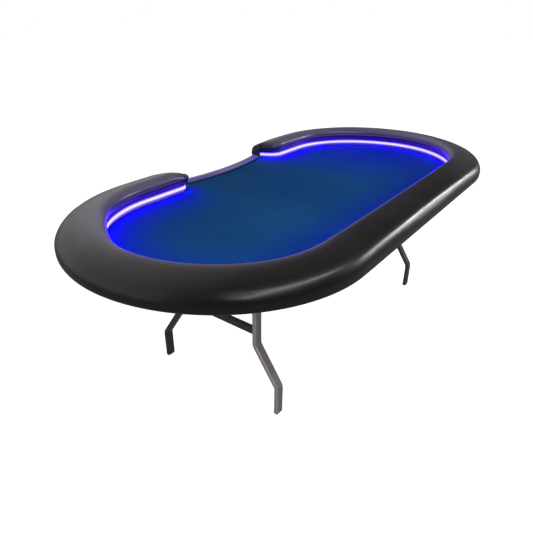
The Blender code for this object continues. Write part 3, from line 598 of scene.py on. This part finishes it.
def bent_line(points, radius, steps):
    """A line in the (y, z) plane with its inner corners rounded."""
    line = [Vector(points[0])]
    for before, corner, after in zip(points, points[1:], points[2:]):
        a = (Vector(before) - Vector(corner)).normalized()
        b = (Vector(after) - Vector(corner)).normalized()
        half = a.angle(b) / 2
        centre = Vector(corner) + (a + b).normalized() * radius / math.sin(half)
        first = Vector(corner) + a * radius / math.tan(half)
        sweep = math.pi - 2 * half
        turn = 1 if (first - centre).cross(b - a) > 0 else -1
        for i in range(steps + 1):
            line.append(centre + Matrix.Rotation(turn * sweep * i / steps, 2) @ (first - centre))
    return line + [Vector(points[-1])]


def rounded_section(half_a, half_b, radius, steps=4):
    """A rectangle with round corners, as (a, b) points."""
    points = []
    for sa, sb, start in ((1, 1, 0), (-1, 1, 90), (-1, -1, 180), (1, -1, 270)):
        centre = (sa * (half_a - radius), sb * (half_b - radius))
        points += arc(centre, (radius, radius), start, start + 90, steps)
    return points


def make_leg(side, face, finish):
    """A bent rectangular tube, from its foot out to one side up to its hip under the panel."""
    node = f"{side}_{face}_leg"
    low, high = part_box(node)
    foot_low, foot_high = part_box(f"{side}_{face}_foot")
    sign = -1 if face == "front" else 1
    foot_y = (foot_low.y + foot_high.y) / 2
    half_x, half_y = (high.x - low.x) / 2, (foot_high.y - foot_low.y) / 2
    hip_y = (low.y + half_y) if sign > 0 else (high.y - half_y)
    points = [(foot_y, low.z), (foot_y, LOWER_KNEE_Z), (hip_y, UPPER_KNEE_Z), (hip_y, high.z)]
    line = bent_line(points, KNEE_RADIUS, KNEE_STEPS)
    section = rounded_section(half_x, half_y, TUBE_CORNER)
    centre_x = (low.x + high.x) / 2
    rings = []
    for i, here in enumerate(line):
        before = (here - line[i - 1]).normalized() if i else None
        after = (line[i + 1] - here).normalized() if i + 1 < len(line) else None
        along = ((before or after) + (after or before)).normalized()
        stretch = 1 / along.dot(before or after)
        across = Vector((-along.y, along.x)) * stretch
        rings.append([(centre_x + a, here.x + across.x * b, here.y + across.y * b) for a, b in section])
    bm = bmesh.new()
    skin_rings(bm, rings)
    name, body = f"{side}_{face}_leg_tube", f"{side}_leg_set"
    finish_mesh(name, bm, finish, body, [node], angle=50)


def make_foot(side, face, finish):
    """A moulded plug at the tube's end, with its edges eased."""
    node = f"{side}_{face}_foot"
    low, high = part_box(node)
    centre = (low + high) / 2
    half_x, half_y = (high.x - low.x) / 2, (high.y - low.y) / 2
    bm = bmesh.new()
    levels = [(0.0022, low.z), (0.0006, low.z + 0.0012), (0.0, low.z + 0.0022)]
    levels += [(0.0, high.z - 0.0004), (0.0004, high.z)]
    rings = []
    for trim, z in levels:
        section = rounded_section(half_x - trim, half_y - trim, TUBE_CORNER)
        rings.append([(centre.x + a, centre.y + b, z) for a, b in section])
    skin_rings(bm, rings)
    name, body = f"{side}_{face}_foot_plug", f"{side}_leg_set"
    finish_mesh(name, bm, finish, body, [node], angle=40)


# ---- Materials -----------------------------------------------------------------------------------

GLOW = 26.0
CLOTH_DARK = (0.0095, 0.0850, 0.2500)
CLOTH_LIGHT = (0.0150, 0.1050, 0.2850)
SPILL = 0.42
SPILL_REACH = 0.36
RIGHT_SPILL = 0.60
STRIP_VIOLET = (0.060, 0.006, 1.0)
UNDER_GLOW = 0.28
CREST_GLOW = 0.050
# Painted pale sheen on the rail's tops, and a painted line of the strip's reflection along the nose
PAINTED_SHEEN_COLOUR = (0.88, 0.78, 0.90)
PAINTED_SHEEN_NEAR = 0.018
PAINTED_SHEEN_FAR = 0.095
PAINTED_SHEEN_RIGHT = 0.062
PAINTED_RIM_REFLECTION = 0.07


class Shader:
    """A Principled material whose colour, roughness and bump come from noise patterns in object space."""

    def __init__(self, name, roughness=0.5, metallic=0.0):
        self.material = bpy.data.materials.new(name)
        self.material.use_nodes = True
        self.tree = self.material.node_tree
        self.bsdf = self.tree.nodes["Principled BSDF"]
        self.bsdf.inputs["Roughness"].default_value = roughness
        self.bsdf.inputs["Metallic"].default_value = metallic
        coordinates = self.node("ShaderNodeTexCoord")
        self.place = coordinates.outputs["Object"]
        self.bump_end = None

    def node(self, kind, **settings):
        made = self.tree.nodes.new(kind)
        for key, value in settings.items():
            if key in made.inputs:
                made.inputs[key].default_value = value
            else:
                setattr(made, key, value)
        return made

    def link(self, a, b):
        self.tree.links.new(a, b)

    def noise(self, scale, detail, stretch=(1, 1, 1), distortion=0.0):
        mapping = self.node("ShaderNodeMapping", Scale=stretch)
        self.link(self.place, mapping.inputs["Vector"])
        made = self.node("ShaderNodeTexNoise", Scale=scale, Detail=detail, Distortion=distortion)
        self.link(mapping.outputs["Vector"], made.inputs["Vector"])
        return made.outputs["Fac"]

    def cells(self, scale, feature="F1"):
        made = self.node("ShaderNodeTexVoronoi", Scale=scale, feature=feature)
        self.link(self.place, made.inputs["Vector"])
        return made.outputs["Distance"]

    def bands(self, scale, direction, distortion):
        made = self.node("ShaderNodeTexWave", Scale=scale, Distortion=distortion)
        made.bands_direction = direction
        self.link(self.place, made.inputs["Vector"])
        return made.outputs["Fac"]

    def ramp(self, source, low, high, start=0.3, end=0.7):
        """Maps a pattern to a range of values or colours."""
        if isinstance(low, tuple):
            made = self.node("ShaderNodeValToRGB")
            made.color_ramp.elements[0].position = start
            made.color_ramp.elements[1].position = end
            made.color_ramp.elements[0].color = (*low, 1)
            made.color_ramp.elements[1].color = (*high, 1)
            self.link(source, made.inputs["Fac"])
            return made.outputs["Color"]
        made = self.node("ShaderNodeMapRange")
        for key, value in zip(("From Min", "From Max", "To Min", "To Max"), (start, end, low, high)):
            made.inputs[key].default_value = value
        self.link(source, made.inputs["Value"])
        return made.outputs["Result"]

    def blend(self, factor, low, high):
        """Mixes two colours, each one a socket or a plain colour."""
        mix = self.node("ShaderNodeMix", data_type="RGBA")
        self.link(factor, mix.inputs["Factor"])
        for name, value in (("A", low), ("B", high)):
            if isinstance(value, tuple):
                mix.inputs[name].default_value = (*value, 1)
            else:
                self.link(value, mix.inputs[name])
        return mix.outputs["Result"]

    def math(self, operation, *values):
        made = self.node("ShaderNodeMath", operation=operation)
        for slot, value in zip(made.inputs, values):
            if isinstance(value, (int, float)):
                slot.default_value = value
            else:
                self.link(value, slot)
        return made.outputs["Value"]

    def coordinate(self, axis):
        parts = self.node("ShaderNodeSeparateXYZ")
        self.link(self.place, parts.inputs["Vector"])
        return parts.outputs[axis]

    def across(self):
        """How far a point lies to the right along the table."""
        return self.coordinate("X")

    def depth(self):
        """How far a point lies towards the dealer's side."""
        return self.coordinate("Y")

    def height(self):
        return self.coordinate("Z")

    def wall_distance(self):
        """How far a point lies in from the lit wall of the rail."""
        past = self.math("SUBTRACT", self.math("ABSOLUTE", self.across()), STRAIGHT)
        beyond = self.math("POWER", self.math("MAXIMUM", past, 0.0), 2.0)
        reach = self.math("SQRT", self.math("ADD", beyond, self.math("POWER", self.depth(), 2.0)))
        return self.math("SUBTRACT", WALL_Y, reach)

    def bay_distance(self):
        """How far a point of the cloth lies in from the band across the dealer's bay."""
        curve = self.math("DIVIDE", self.math("POWER", self.across(), 2.0), 2 * BAY_ARC_RADIUS)
        return self.math("SUBTRACT", self.math("ADD", curve, EDGE_Y - EDGE_WIDTH), self.depth())

    def in_bay(self):
        """One in front of the dealer's bay, where there are no lights, and zero beside it."""
        inside = self.ramp(self.math("ABSOLUTE", self.across()), 1.0, 0.0, 0.26, 0.40)
        return self.multiply(inside, self.ramp(self.depth(), 0.0, 1.0, 0.10, 0.25))

    def multiply(self, a, b):
        return self.math("MULTIPLY", a, b)

    def bump(self, height, strength, distance):
        made = self.node("ShaderNodeBump", Strength=strength, Distance=distance)
        self.link(height, made.inputs["Height"])
        if self.bump_end:
            self.link(self.bump_end, made.inputs["Normal"])
        self.bump_end = made.outputs["Normal"]
        self.link(self.bump_end, self.bsdf.inputs["Normal"])

    def edge_wear(self, worn, amount=0.5):
        """Lightens the colour on sharp edges. Call it after the colour is linked."""
        bevel = self.node("ShaderNodeBevel", Radius=0.0012, samples=4)
        geometry = self.node("ShaderNodeNewGeometry")
        facing = self.node("ShaderNodeVectorMath", operation="DOT_PRODUCT")
        self.link(bevel.outputs["Normal"], facing.inputs[0])
        self.link(geometry.outputs["Normal"], facing.inputs[1])
        edge = self.ramp(facing.outputs["Value"], amount, 0.0, 0.90, 0.985)
        broken = self.multiply(edge, self.ramp(self.noise(120, 5), 0.0, 1.0, 0.42, 0.62))
        source = self.bsdf.inputs["Base Color"].links[0].from_socket
        self.set(self.blend(broken, source, worn))

    def glow(self, colour, strength):
        """Emission: a socket or a plain colour, and a socket or a plain strength."""
        for name, value in (("Emission Color", colour), ("Emission Strength", strength)):
            if isinstance(value, tuple):
                self.bsdf.inputs[name].default_value = (*value, 1)
            elif isinstance(value, float):
                self.bsdf.inputs[name].default_value = value
            else:
                self.link(value, self.bsdf.inputs[name])

    def set(self, colour=None, roughness=None, **values):
        if colour is not None:
            self.link(colour, self.bsdf.inputs["Base Color"])
        if roughness is not None:
            self.link(roughness, self.bsdf.inputs["Roughness"])
        for key, value in values.items():
            self.bsdf.inputs[key.replace("_", " ")].default_value = value


def rail_violet(s, near):
    """Violet light under the rail's nose and, weaker, along its inner crest."""
    under = s.multiply(s.ramp(s.height(), 1.0, 0.0, CHANNEL_HIGH - 0.002, RAIL_CREST - 0.026), near)
    crest = s.math("POWER", s.ramp(s.wall_distance(), 0.0, 1.0, -0.060, 0.008), 2.0)
    under = s.math("MULTIPLY", s.math("POWER", under, 1.5), UNDER_GLOW)
    return s.math("ADD", under, s.math("MULTIPLY", s.multiply(crest, near), CREST_GLOW))


def rail_painted_sheen(s, near):
    """Painted pale sheen on the rail's far and right tops, and a thin painted reflection of the strip along
    the nose's lit side.
    """
    height = s.height()
    inner = s.math("POWER", s.ramp(s.wall_distance(), 0.0, 1.0, -0.125, -0.010), 1.3)
    wide = s.multiply(inner, s.ramp(height, 0.0, 1.0, 0.755, 0.778))
    back, right = s.ramp(s.depth(), 0.0, 1.0, -0.1, 0.42), s.ramp(s.across(), 0.0, 1.0, 0.55, 1.0)
    painted_sheen = s.multiply(wide, s.ramp(s.math("MAXIMUM", back, right), PAINTED_SHEEN_NEAR, PAINTED_SHEEN_FAR, 0.0, 1.0))
    high = s.ramp(height, 0.0, 1.0, 0.750, 0.776)
    right_end = s.multiply(s.ramp(s.across(), 0.0, 1.0, 0.25, 0.85), high)
    painted_sheen = s.math("MAXIMUM", painted_sheen, s.math("MULTIPLY", right_end, PAINTED_SHEEN_RIGHT))
    # A thin painted reflection of the strip along the nose.
    off_rim = s.math("ABSOLUTE", s.math("SUBTRACT", height, RAIL_CREST - 0.034))
    rim = s.multiply(s.ramp(off_rim, 1.0, 0.0, 0.0005, 0.0045), near)
    return s.math("ADD", painted_sheen, s.math("MULTIPLY", rim, PAINTED_RIM_REFLECTION))


def vinyl_material():
    """Black grained vinyl. Its painted glow stands for the strip's light on it and for the room's
    reflection.
    """
    s = Shader("rail_vinyl_grain")
    colour = s.ramp(s.noise(5, 3), (0.0120, 0.0102, 0.0104), (0.0170, 0.0148, 0.0150))
    s.set(colour, s.ramp(s.noise(9, 4), 0.30, 0.37))
    s.set(Coat_Weight=0.10, Coat_Roughness=0.26)
    beside_wall = s.ramp(s.wall_distance(), 0.0, 1.0, -0.045, -0.004)
    near = s.multiply(beside_wall, s.math("SUBTRACT", 1.0, s.in_bay()))
    # Painted pale sheen on the tops, and the strip's painted reflection along the nose.
    painted_sheen = rail_painted_sheen(s, near)
    glow = s.math("ADD", rail_violet(s, near), painted_sheen)
    share = s.math("DIVIDE", painted_sheen, s.math("MAXIMUM", glow, 0.0001))
    s.glow(s.blend(share, STRIP_VIOLET, PAINTED_SHEEN_COLOUR), glow)
    s.bump(s.noise(7, 2), 0.16, 0.006)
    s.bump(s.noise(34, 3), 0.06, 0.002)
    s.bump(s.cells(820, "SMOOTH_F1"), 0.22, 0.0004)
    return s.material


def edge_vinyl_material():
    """The tight, glossier band across the bay. Its faint violet glow is painted light from the strips."""
    s = Shader("edge_vinyl_grain")
    # Lilac-blue, much lighter than the rail's vinyl: partly the band's own colour, partly painted
    # reflection of the strips.
    colour = s.ramp(s.noise(6, 3), (0.060, 0.055, 0.115), (0.080, 0.074, 0.140))
    s.set(colour, s.ramp(s.noise(12, 4), 0.26, 0.34))
    # Painted light: a faint violet glow from the strips.
    s.glow((0.39, 0.33, 1.0), 0.15)
    s.set(Coat_Weight=0.3, Coat_Roughness=0.2)
    s.bump(s.noise(9, 2), 0.10, 0.004)
    s.bump(s.cells(820, "SMOOTH_F1"), 0.15, 0.0003)
    return s.material


def strip_spill(s, near_side):
    """How much of the strip's light lies on the cloth: most by the wall, some all over the right end."""
    by_wall = s.math("POWER", s.ramp(s.wall_distance(), 1.0, 0.0, 0.004, SPILL_REACH), 2.6)
    by_wall = s.multiply(by_wall, s.math("SUBTRACT", 1.0, s.in_bay()))
    right_end = s.math("MULTIPLY", s.ramp(s.across(), 0.0, 1.0, 0.20, 0.90), RIGHT_SPILL)
    return s.multiply(s.math("MAXIMUM", by_wall, right_end), s.ramp(near_side, 1.0, 0.45, 0.0, 1.0))


def cloth_colour_and_painted_shade(s, near_side):
    """The cloth's own blue, with painted shade by the near rail and a painted shadow along the dealer's
    edge.
    """
    plain = s.ramp(s.noise(2.2, 3), CLOTH_DARK, CLOTH_LIGHT, 0.35, 0.65)
    # Painted shade: the cloth darkens towards the near rail.
    painted_rail_shade = s.multiply(near_side, s.ramp(s.wall_distance(), 0.60, 0.15, 0.0, 0.26))
    plain = s.blend(painted_rail_shade, plain, (0.002, 0.018, 0.080))
    # Painted shadow: a dark line on the cloth along the raised band of the dealer's edge.
    painted_edge_shadow = s.multiply(s.ramp(s.bay_distance(), 1.0, 0.0, 0.004, 0.030), s.in_bay())
    return s.blend(painted_edge_shadow, plain, (0.001, 0.004, 0.040))


def cloth_material():
    """Blue speed cloth. Near the lights its colour and glow are painted with their violet-blue spill."""
    s = Shader("speed_cloth_weave", roughness=0.85)
    near_side = s.ramp(s.depth(), 1.0, 0.0, -0.34, 0.0)
    spill = strip_spill(s, near_side)
    colour = s.blend(spill, cloth_colour_and_painted_shade(s, near_side), (0.001, 0.001, 0.15))
    s.set(colour, s.ramp(s.noise(500, 2), 0.78, 0.92))
    s.glow((0.0015, 0.001, 1.0), s.math("MULTIPLY", spill, SPILL))
    s.set(Specular_IOR_Level=0.03)
    warp, weft = s.bands(380, "X", 0.4), s.bands(380, "Y", 0.4)
    s.bump(s.multiply(warp, weft), 0.30, 0.0003)
    s.bump(s.noise(1400, 2), 0.20, 0.0002)
    s.bump(s.noise(3, 2), 0.05, 0.004)
    return s.material


def steel_material():
    s = Shader("black_powder_coat")
    colour = s.ramp(s.noise(30, 3), (0.090, 0.082, 0.080), (0.112, 0.103, 0.101))
    s.set(colour, s.ramp(s.noise(60, 4), 0.34, 0.46))
    s.set(Metallic=0.15, Coat_Weight=0.1, Coat_Roughness=0.25)
    s.bump(s.noise(900, 2), 0.10, 0.0003)
    s.edge_wear((0.16, 0.15, 0.15), 0.5)
    return s.material


def zinc_material():
    s = Shader("zinc_plate", metallic=1.0)
    colour = s.ramp(s.noise(80, 4), (0.42, 0.42, 0.44), (0.60, 0.60, 0.58))
    s.set(colour, s.ramp(s.noise(200, 4), 0.28, 0.48))
    s.bump(s.noise(700, 3), 0.10, 0.0002)
    return s.material


def aluminium_material():
    """The strip's channel, violet with the light inside it."""
    s = Shader("channel_aluminium", metallic=1.0)
    colour = s.ramp(s.noise(60, 3), (0.52, 0.52, 0.55), (0.62, 0.62, 0.64))
    s.set(colour, s.ramp(s.noise(240, 3), 0.30, 0.42))
    s.bump(s.noise(500, 3, (0.04, 0.04, 1)), 0.10, 0.0002)
    s.glow((0.03, 0.006, 1.0), 0.55)
    return s.material


def plywood_material():
    """Birch plywood: long grain on the faces and thin plies on the edges."""
    s = Shader("plywood_grain", roughness=0.62)
    grain = s.noise(26, 6, (0.10, 1.6, 1.0), 0.8)
    face = s.ramp(grain, (0.46, 0.30, 0.15), (0.64, 0.46, 0.27), 0.35, 0.68)
    plies = s.ramp(s.bands(55, "Z", 0.3), (0.20, 0.12, 0.06), (0.62, 0.46, 0.28), 0.30, 0.60)
    geometry = s.node("ShaderNodeNewGeometry")
    parts = s.node("ShaderNodeSeparateXYZ")
    s.link(geometry.outputs["Normal"], parts.inputs["Vector"])
    flat = s.ramp(s.math("ABSOLUTE", parts.outputs["Z"]), 0.0, 1.0, 0.5, 0.8)
    s.set(s.blend(flat, plies, face), s.ramp(grain, 0.55, 0.72))
    s.bump(grain, 0.20, 0.0006)
    return s.material


def foam_material():
    s = Shader("foam_cells", roughness=0.95)
    s.set(s.ramp(s.noise(40, 3), (0.62, 0.58, 0.46), (0.74, 0.71, 0.60)))
    s.bump(s.cells(600), 0.5, 0.0008)
    return s.material


def plastic_material():
    s = Shader("moulded_plastic")
    colour = s.ramp(s.noise(50, 3), (0.020, 0.020, 0.021), (0.030, 0.030, 0.031))
    s.set(colour, s.ramp(s.noise(150, 3), 0.42, 0.56))
    s.bump(s.noise(1500, 2), 0.18, 0.0002)
    return s.material


def tape_material():
    s = Shader("light_tape_board", roughness=0.5)
    s.set(s.ramp(s.noise(150, 3), (0.78, 0.78, 0.74), (0.88, 0.88, 0.84)))
    s.bump(s.cells(160), 0.2, 0.0004)
    return s.material


def glow_material():
    """The lit milky cover: pale to the camera, and a strong violet light for everything round it."""
    s = Shader("lit_milky_cover", roughness=0.4)
    s.set(s.ramp(s.noise(60, 2), (0.70, 0.68, 0.90), (0.80, 0.78, 0.95)))
    off_middle = s.math("ABSOLUTE", s.math("SUBTRACT", s.height(), (CHANNEL_LOW + CHANNEL_HIGH) / 2))
    seen_colour = s.ramp(off_middle, (0.86, 0.80, 1.0), (0.05, 0.008, 0.60), 0.0022, 0.0062)
    unevenness = s.ramp(s.noise(60, 1), 0.95, 1.05)
    seen = s.node("ShaderNodeLightPath").outputs["Is Camera Ray"]
    strength = s.multiply(unevenness, s.ramp(seen, GLOW, 1.0, 0, 1))
    s.glow(s.blend(seen, (0.05, 0.004, 1.0), seen_colour), strength)
    return s.material


# ---- Stage ---------------------------------------------------------------------------------------

ROOM_LIGHT = 0.62
ROOM_DARK = 0.035
ROOM_BRIGHT_SIDE = (-0.3, 0.95, 0.0)
ROOM_SPAN = (0.06, 0.50)  # where the room starts to brighten towards that side, and where it is brightest
FLOOR_LIFT = 0.92
FLOOR_SHINE = 0.14
FLOOR_SIZE = 30
CAMERA_PLACE = Vector((-1.833, -1.132, 1.428))
CAMERA_HEADING = 53.308
CAMERA_DOWN = 27.945
CAMERA_ROLL = 0.355
CAMERA_LENS = 32.41


def make_camera():
    data = bpy.data.cameras.new("camera")
    data.lens = CAMERA_LENS
    data.sensor_width = 36
    camera = bpy.data.objects.new("camera", data)
    bpy.context.scene.collection.objects.link(camera)
    heading, down = math.radians(CAMERA_HEADING), math.radians(CAMERA_DOWN)
    level = Vector((math.sin(heading), math.cos(heading), 0))
    forward = level * math.cos(down) - Vector((0, 0, math.sin(down)))
    camera.rotation_mode = "QUATERNION"
    turn = Matrix.Rotation(math.radians(-CAMERA_ROLL), 3, forward).to_quaternion()
    camera.rotation_quaternion = turn @ forward.to_track_quat("-Z", "Y")
    camera.location = CAMERA_PLACE
    bpy.context.scene.camera = camera


def area_light(name, place, target, size, power):
    data = bpy.data.lights.new(name, "AREA")
    data.shape = "RECTANGLE"
    data.size, data.size_y = size
    data.energy = power
    lamp = bpy.data.objects.new(name, data)
    bpy.context.scene.collection.objects.link(lamp)
    lamp.location = place
    lamp.rotation_mode = "QUATERNION"
    lamp.rotation_quaternion = (Vector(target) - Vector(place)).to_track_quat("-Z", "Y")
    return lamp


def make_world():
    """White behind the table. The table itself sees a dim room that brightens towards one side."""
    world = bpy.data.worlds.new("studio")
    world.use_nodes = True
    tree = world.node_tree
    back = tree.nodes["Background"]
    place = tree.nodes.new("ShaderNodeTexCoord")
    towards = tree.nodes.new("ShaderNodeVectorMath")
    towards.operation = "DOT_PRODUCT"
    towards.inputs[1].default_value = ROOM_BRIGHT_SIDE
    ramp = tree.nodes.new("ShaderNodeMapRange")
    ramp.interpolation_type = "SMOOTHSTEP"
    ramp.inputs["From Min"].default_value, ramp.inputs["From Max"].default_value = ROOM_SPAN
    ramp.inputs["To Min"].default_value = ROOM_DARK
    ramp.inputs["To Max"].default_value = ROOM_LIGHT
    path = tree.nodes.new("ShaderNodeLightPath")
    mix = tree.nodes.new("ShaderNodeMix")
    mix.data_type = "RGBA"
    mix.inputs["B"].default_value = (1, 1, 1, 1)
    tree.links.new(place.outputs["Generated"], towards.inputs[0])
    tree.links.new(towards.outputs["Value"], ramp.inputs["Value"])
    tree.links.new(path.outputs["Is Camera Ray"], mix.inputs["Factor"])
    tree.links.new(ramp.outputs["Result"], mix.inputs["A"])
    tree.links.new(mix.outputs["Result"], back.inputs["Color"])
    back.inputs["Strength"].default_value = 1.0
    bpy.context.scene.world = world


def floor_material():
    """A pale floor, dimmer in reflections than it looks to the camera, and clear from below."""
    s = Shader("pale_floor", roughness=0.9)
    seen = s.node("ShaderNodeLightPath").outputs["Is Camera Ray"]
    pale = s.ramp(s.noise(3, 2), (0.90, 0.90, 0.90), (0.93, 0.93, 0.93))
    s.set(s.blend(seen, (0.10, 0.10, 0.10), pale))
    s.set(Specular_IOR_Level=0.0)
    s.glow((1.0, 1.0, 1.0), s.ramp(seen, FLOOR_SHINE, FLOOR_LIFT, 0, 1))
    clear, mix = s.node("ShaderNodeBsdfTransparent"), s.node("ShaderNodeMixShader")
    s.link(s.node("ShaderNodeNewGeometry").outputs["Backfacing"], mix.inputs["Fac"])
    s.link(s.bsdf.outputs["BSDF"], mix.inputs[1])
    s.link(clear.outputs["BSDF"], mix.inputs[2])
    s.link(mix.outputs["Shader"], s.tree.nodes["Material Output"].inputs["Surface"])
    return s.material


def make_floor():
    bm = bmesh.new()
    bmesh.ops.create_grid(bm, x_segments=1, y_segments=1, size=FLOOR_SIZE)
    mesh = bpy.data.meshes.new("floor")
    bm.to_mesh(mesh)
    bm.free()
    mesh.materials.append(floor_material())
    floor = bpy.data.objects.new("floor", mesh)
    floor.location.z = CAD_LOW.z - 0.0005
    bpy.context.scene.collection.objects.link(floor)


def light_only(lamp, start):
    """Makes a lamp light only the pieces whose names have a given start."""
    lit = bpy.data.collections.new("lit_by_" + lamp.name)
    for piece in bpy.context.scene.objects:
        if piece.name.startswith(start):
            lit.objects.link(piece)
    lamp.light_linking.receiver_collection = lit


def make_lamps():
    area_light("right_window", (2.9, -1.9, 1.55), (0.3, -0.5, 0.75), (0.8, 0.45), 33)
    area_light("ceiling_strip", (-0.7, -1.75, 2.55), (-0.8, -0.49, 0.76), (2.9, 0.16), 30)
    fill = area_light("leg_fill", (-2.9, -1.3, 0.9), (-0.6, -0.3, 0.3), (1.0, 0.8), 125)
    light_only(fill, "left_front_leg")


def make_stage():
    make_floor()
    make_world()
    make_lamps()
    bpy.context.scene.view_settings.view_transform = "Standard"


# ---- Build ---------------------------------------------------------------------------------------


def dress_cad_nodes(finishes):
    """Gives every CAD node that stays visible the finish of its slot."""
    slots = {part["node"]: part["material_slot"] for part in frame["record"]["subparts"]}
    for name, node in frame["nodes"].items():
        if node.hide_render:
            continue
        node.data.materials.clear()
        node.data.materials.append(finishes[slots[name]])
        node.data.shade_smooth()
        node.data.set_sharp_from_angle(angle=math.radians(30))


def build():
    """Every piece of the table, and the finishes of the CAD nodes that stay."""
    vinyl, cloth, steel, ply = vinyl_material(), cloth_material(), steel_material(), plywood_material()
    foam, plastic, zinc = foam_material(), plastic_material(), zinc_material()
    aluminium, tape, glow = aluminium_material(), tape_material(), glow_material()
    make_rail(vinyl)
    make_rail_wood(ply)
    make_lights(aluminium, glow, tape)
    make_cloth(cloth)
    make_boards(ply, foam)
    make_dealer_edge(edge_vinyl_material(), ply)
    for side in ("left", "right"):
        for face in ("front", "back"):
            make_leg(side, face, steel)
            make_foot(side, face, plastic)
    dress_cad_nodes({
        "rail_vinyl": vinyl,
        "speed_cloth": cloth,
        "foam": foam,
        "plywood": ply,
        "black_steel": steel,
        "zinc_steel": zinc,
        "aluminium": aluminium,
        "light_tape": tape,
        "diffuser": glow,
        "black_plastic": plastic,
    })


build()
make_stage()
make_camera()
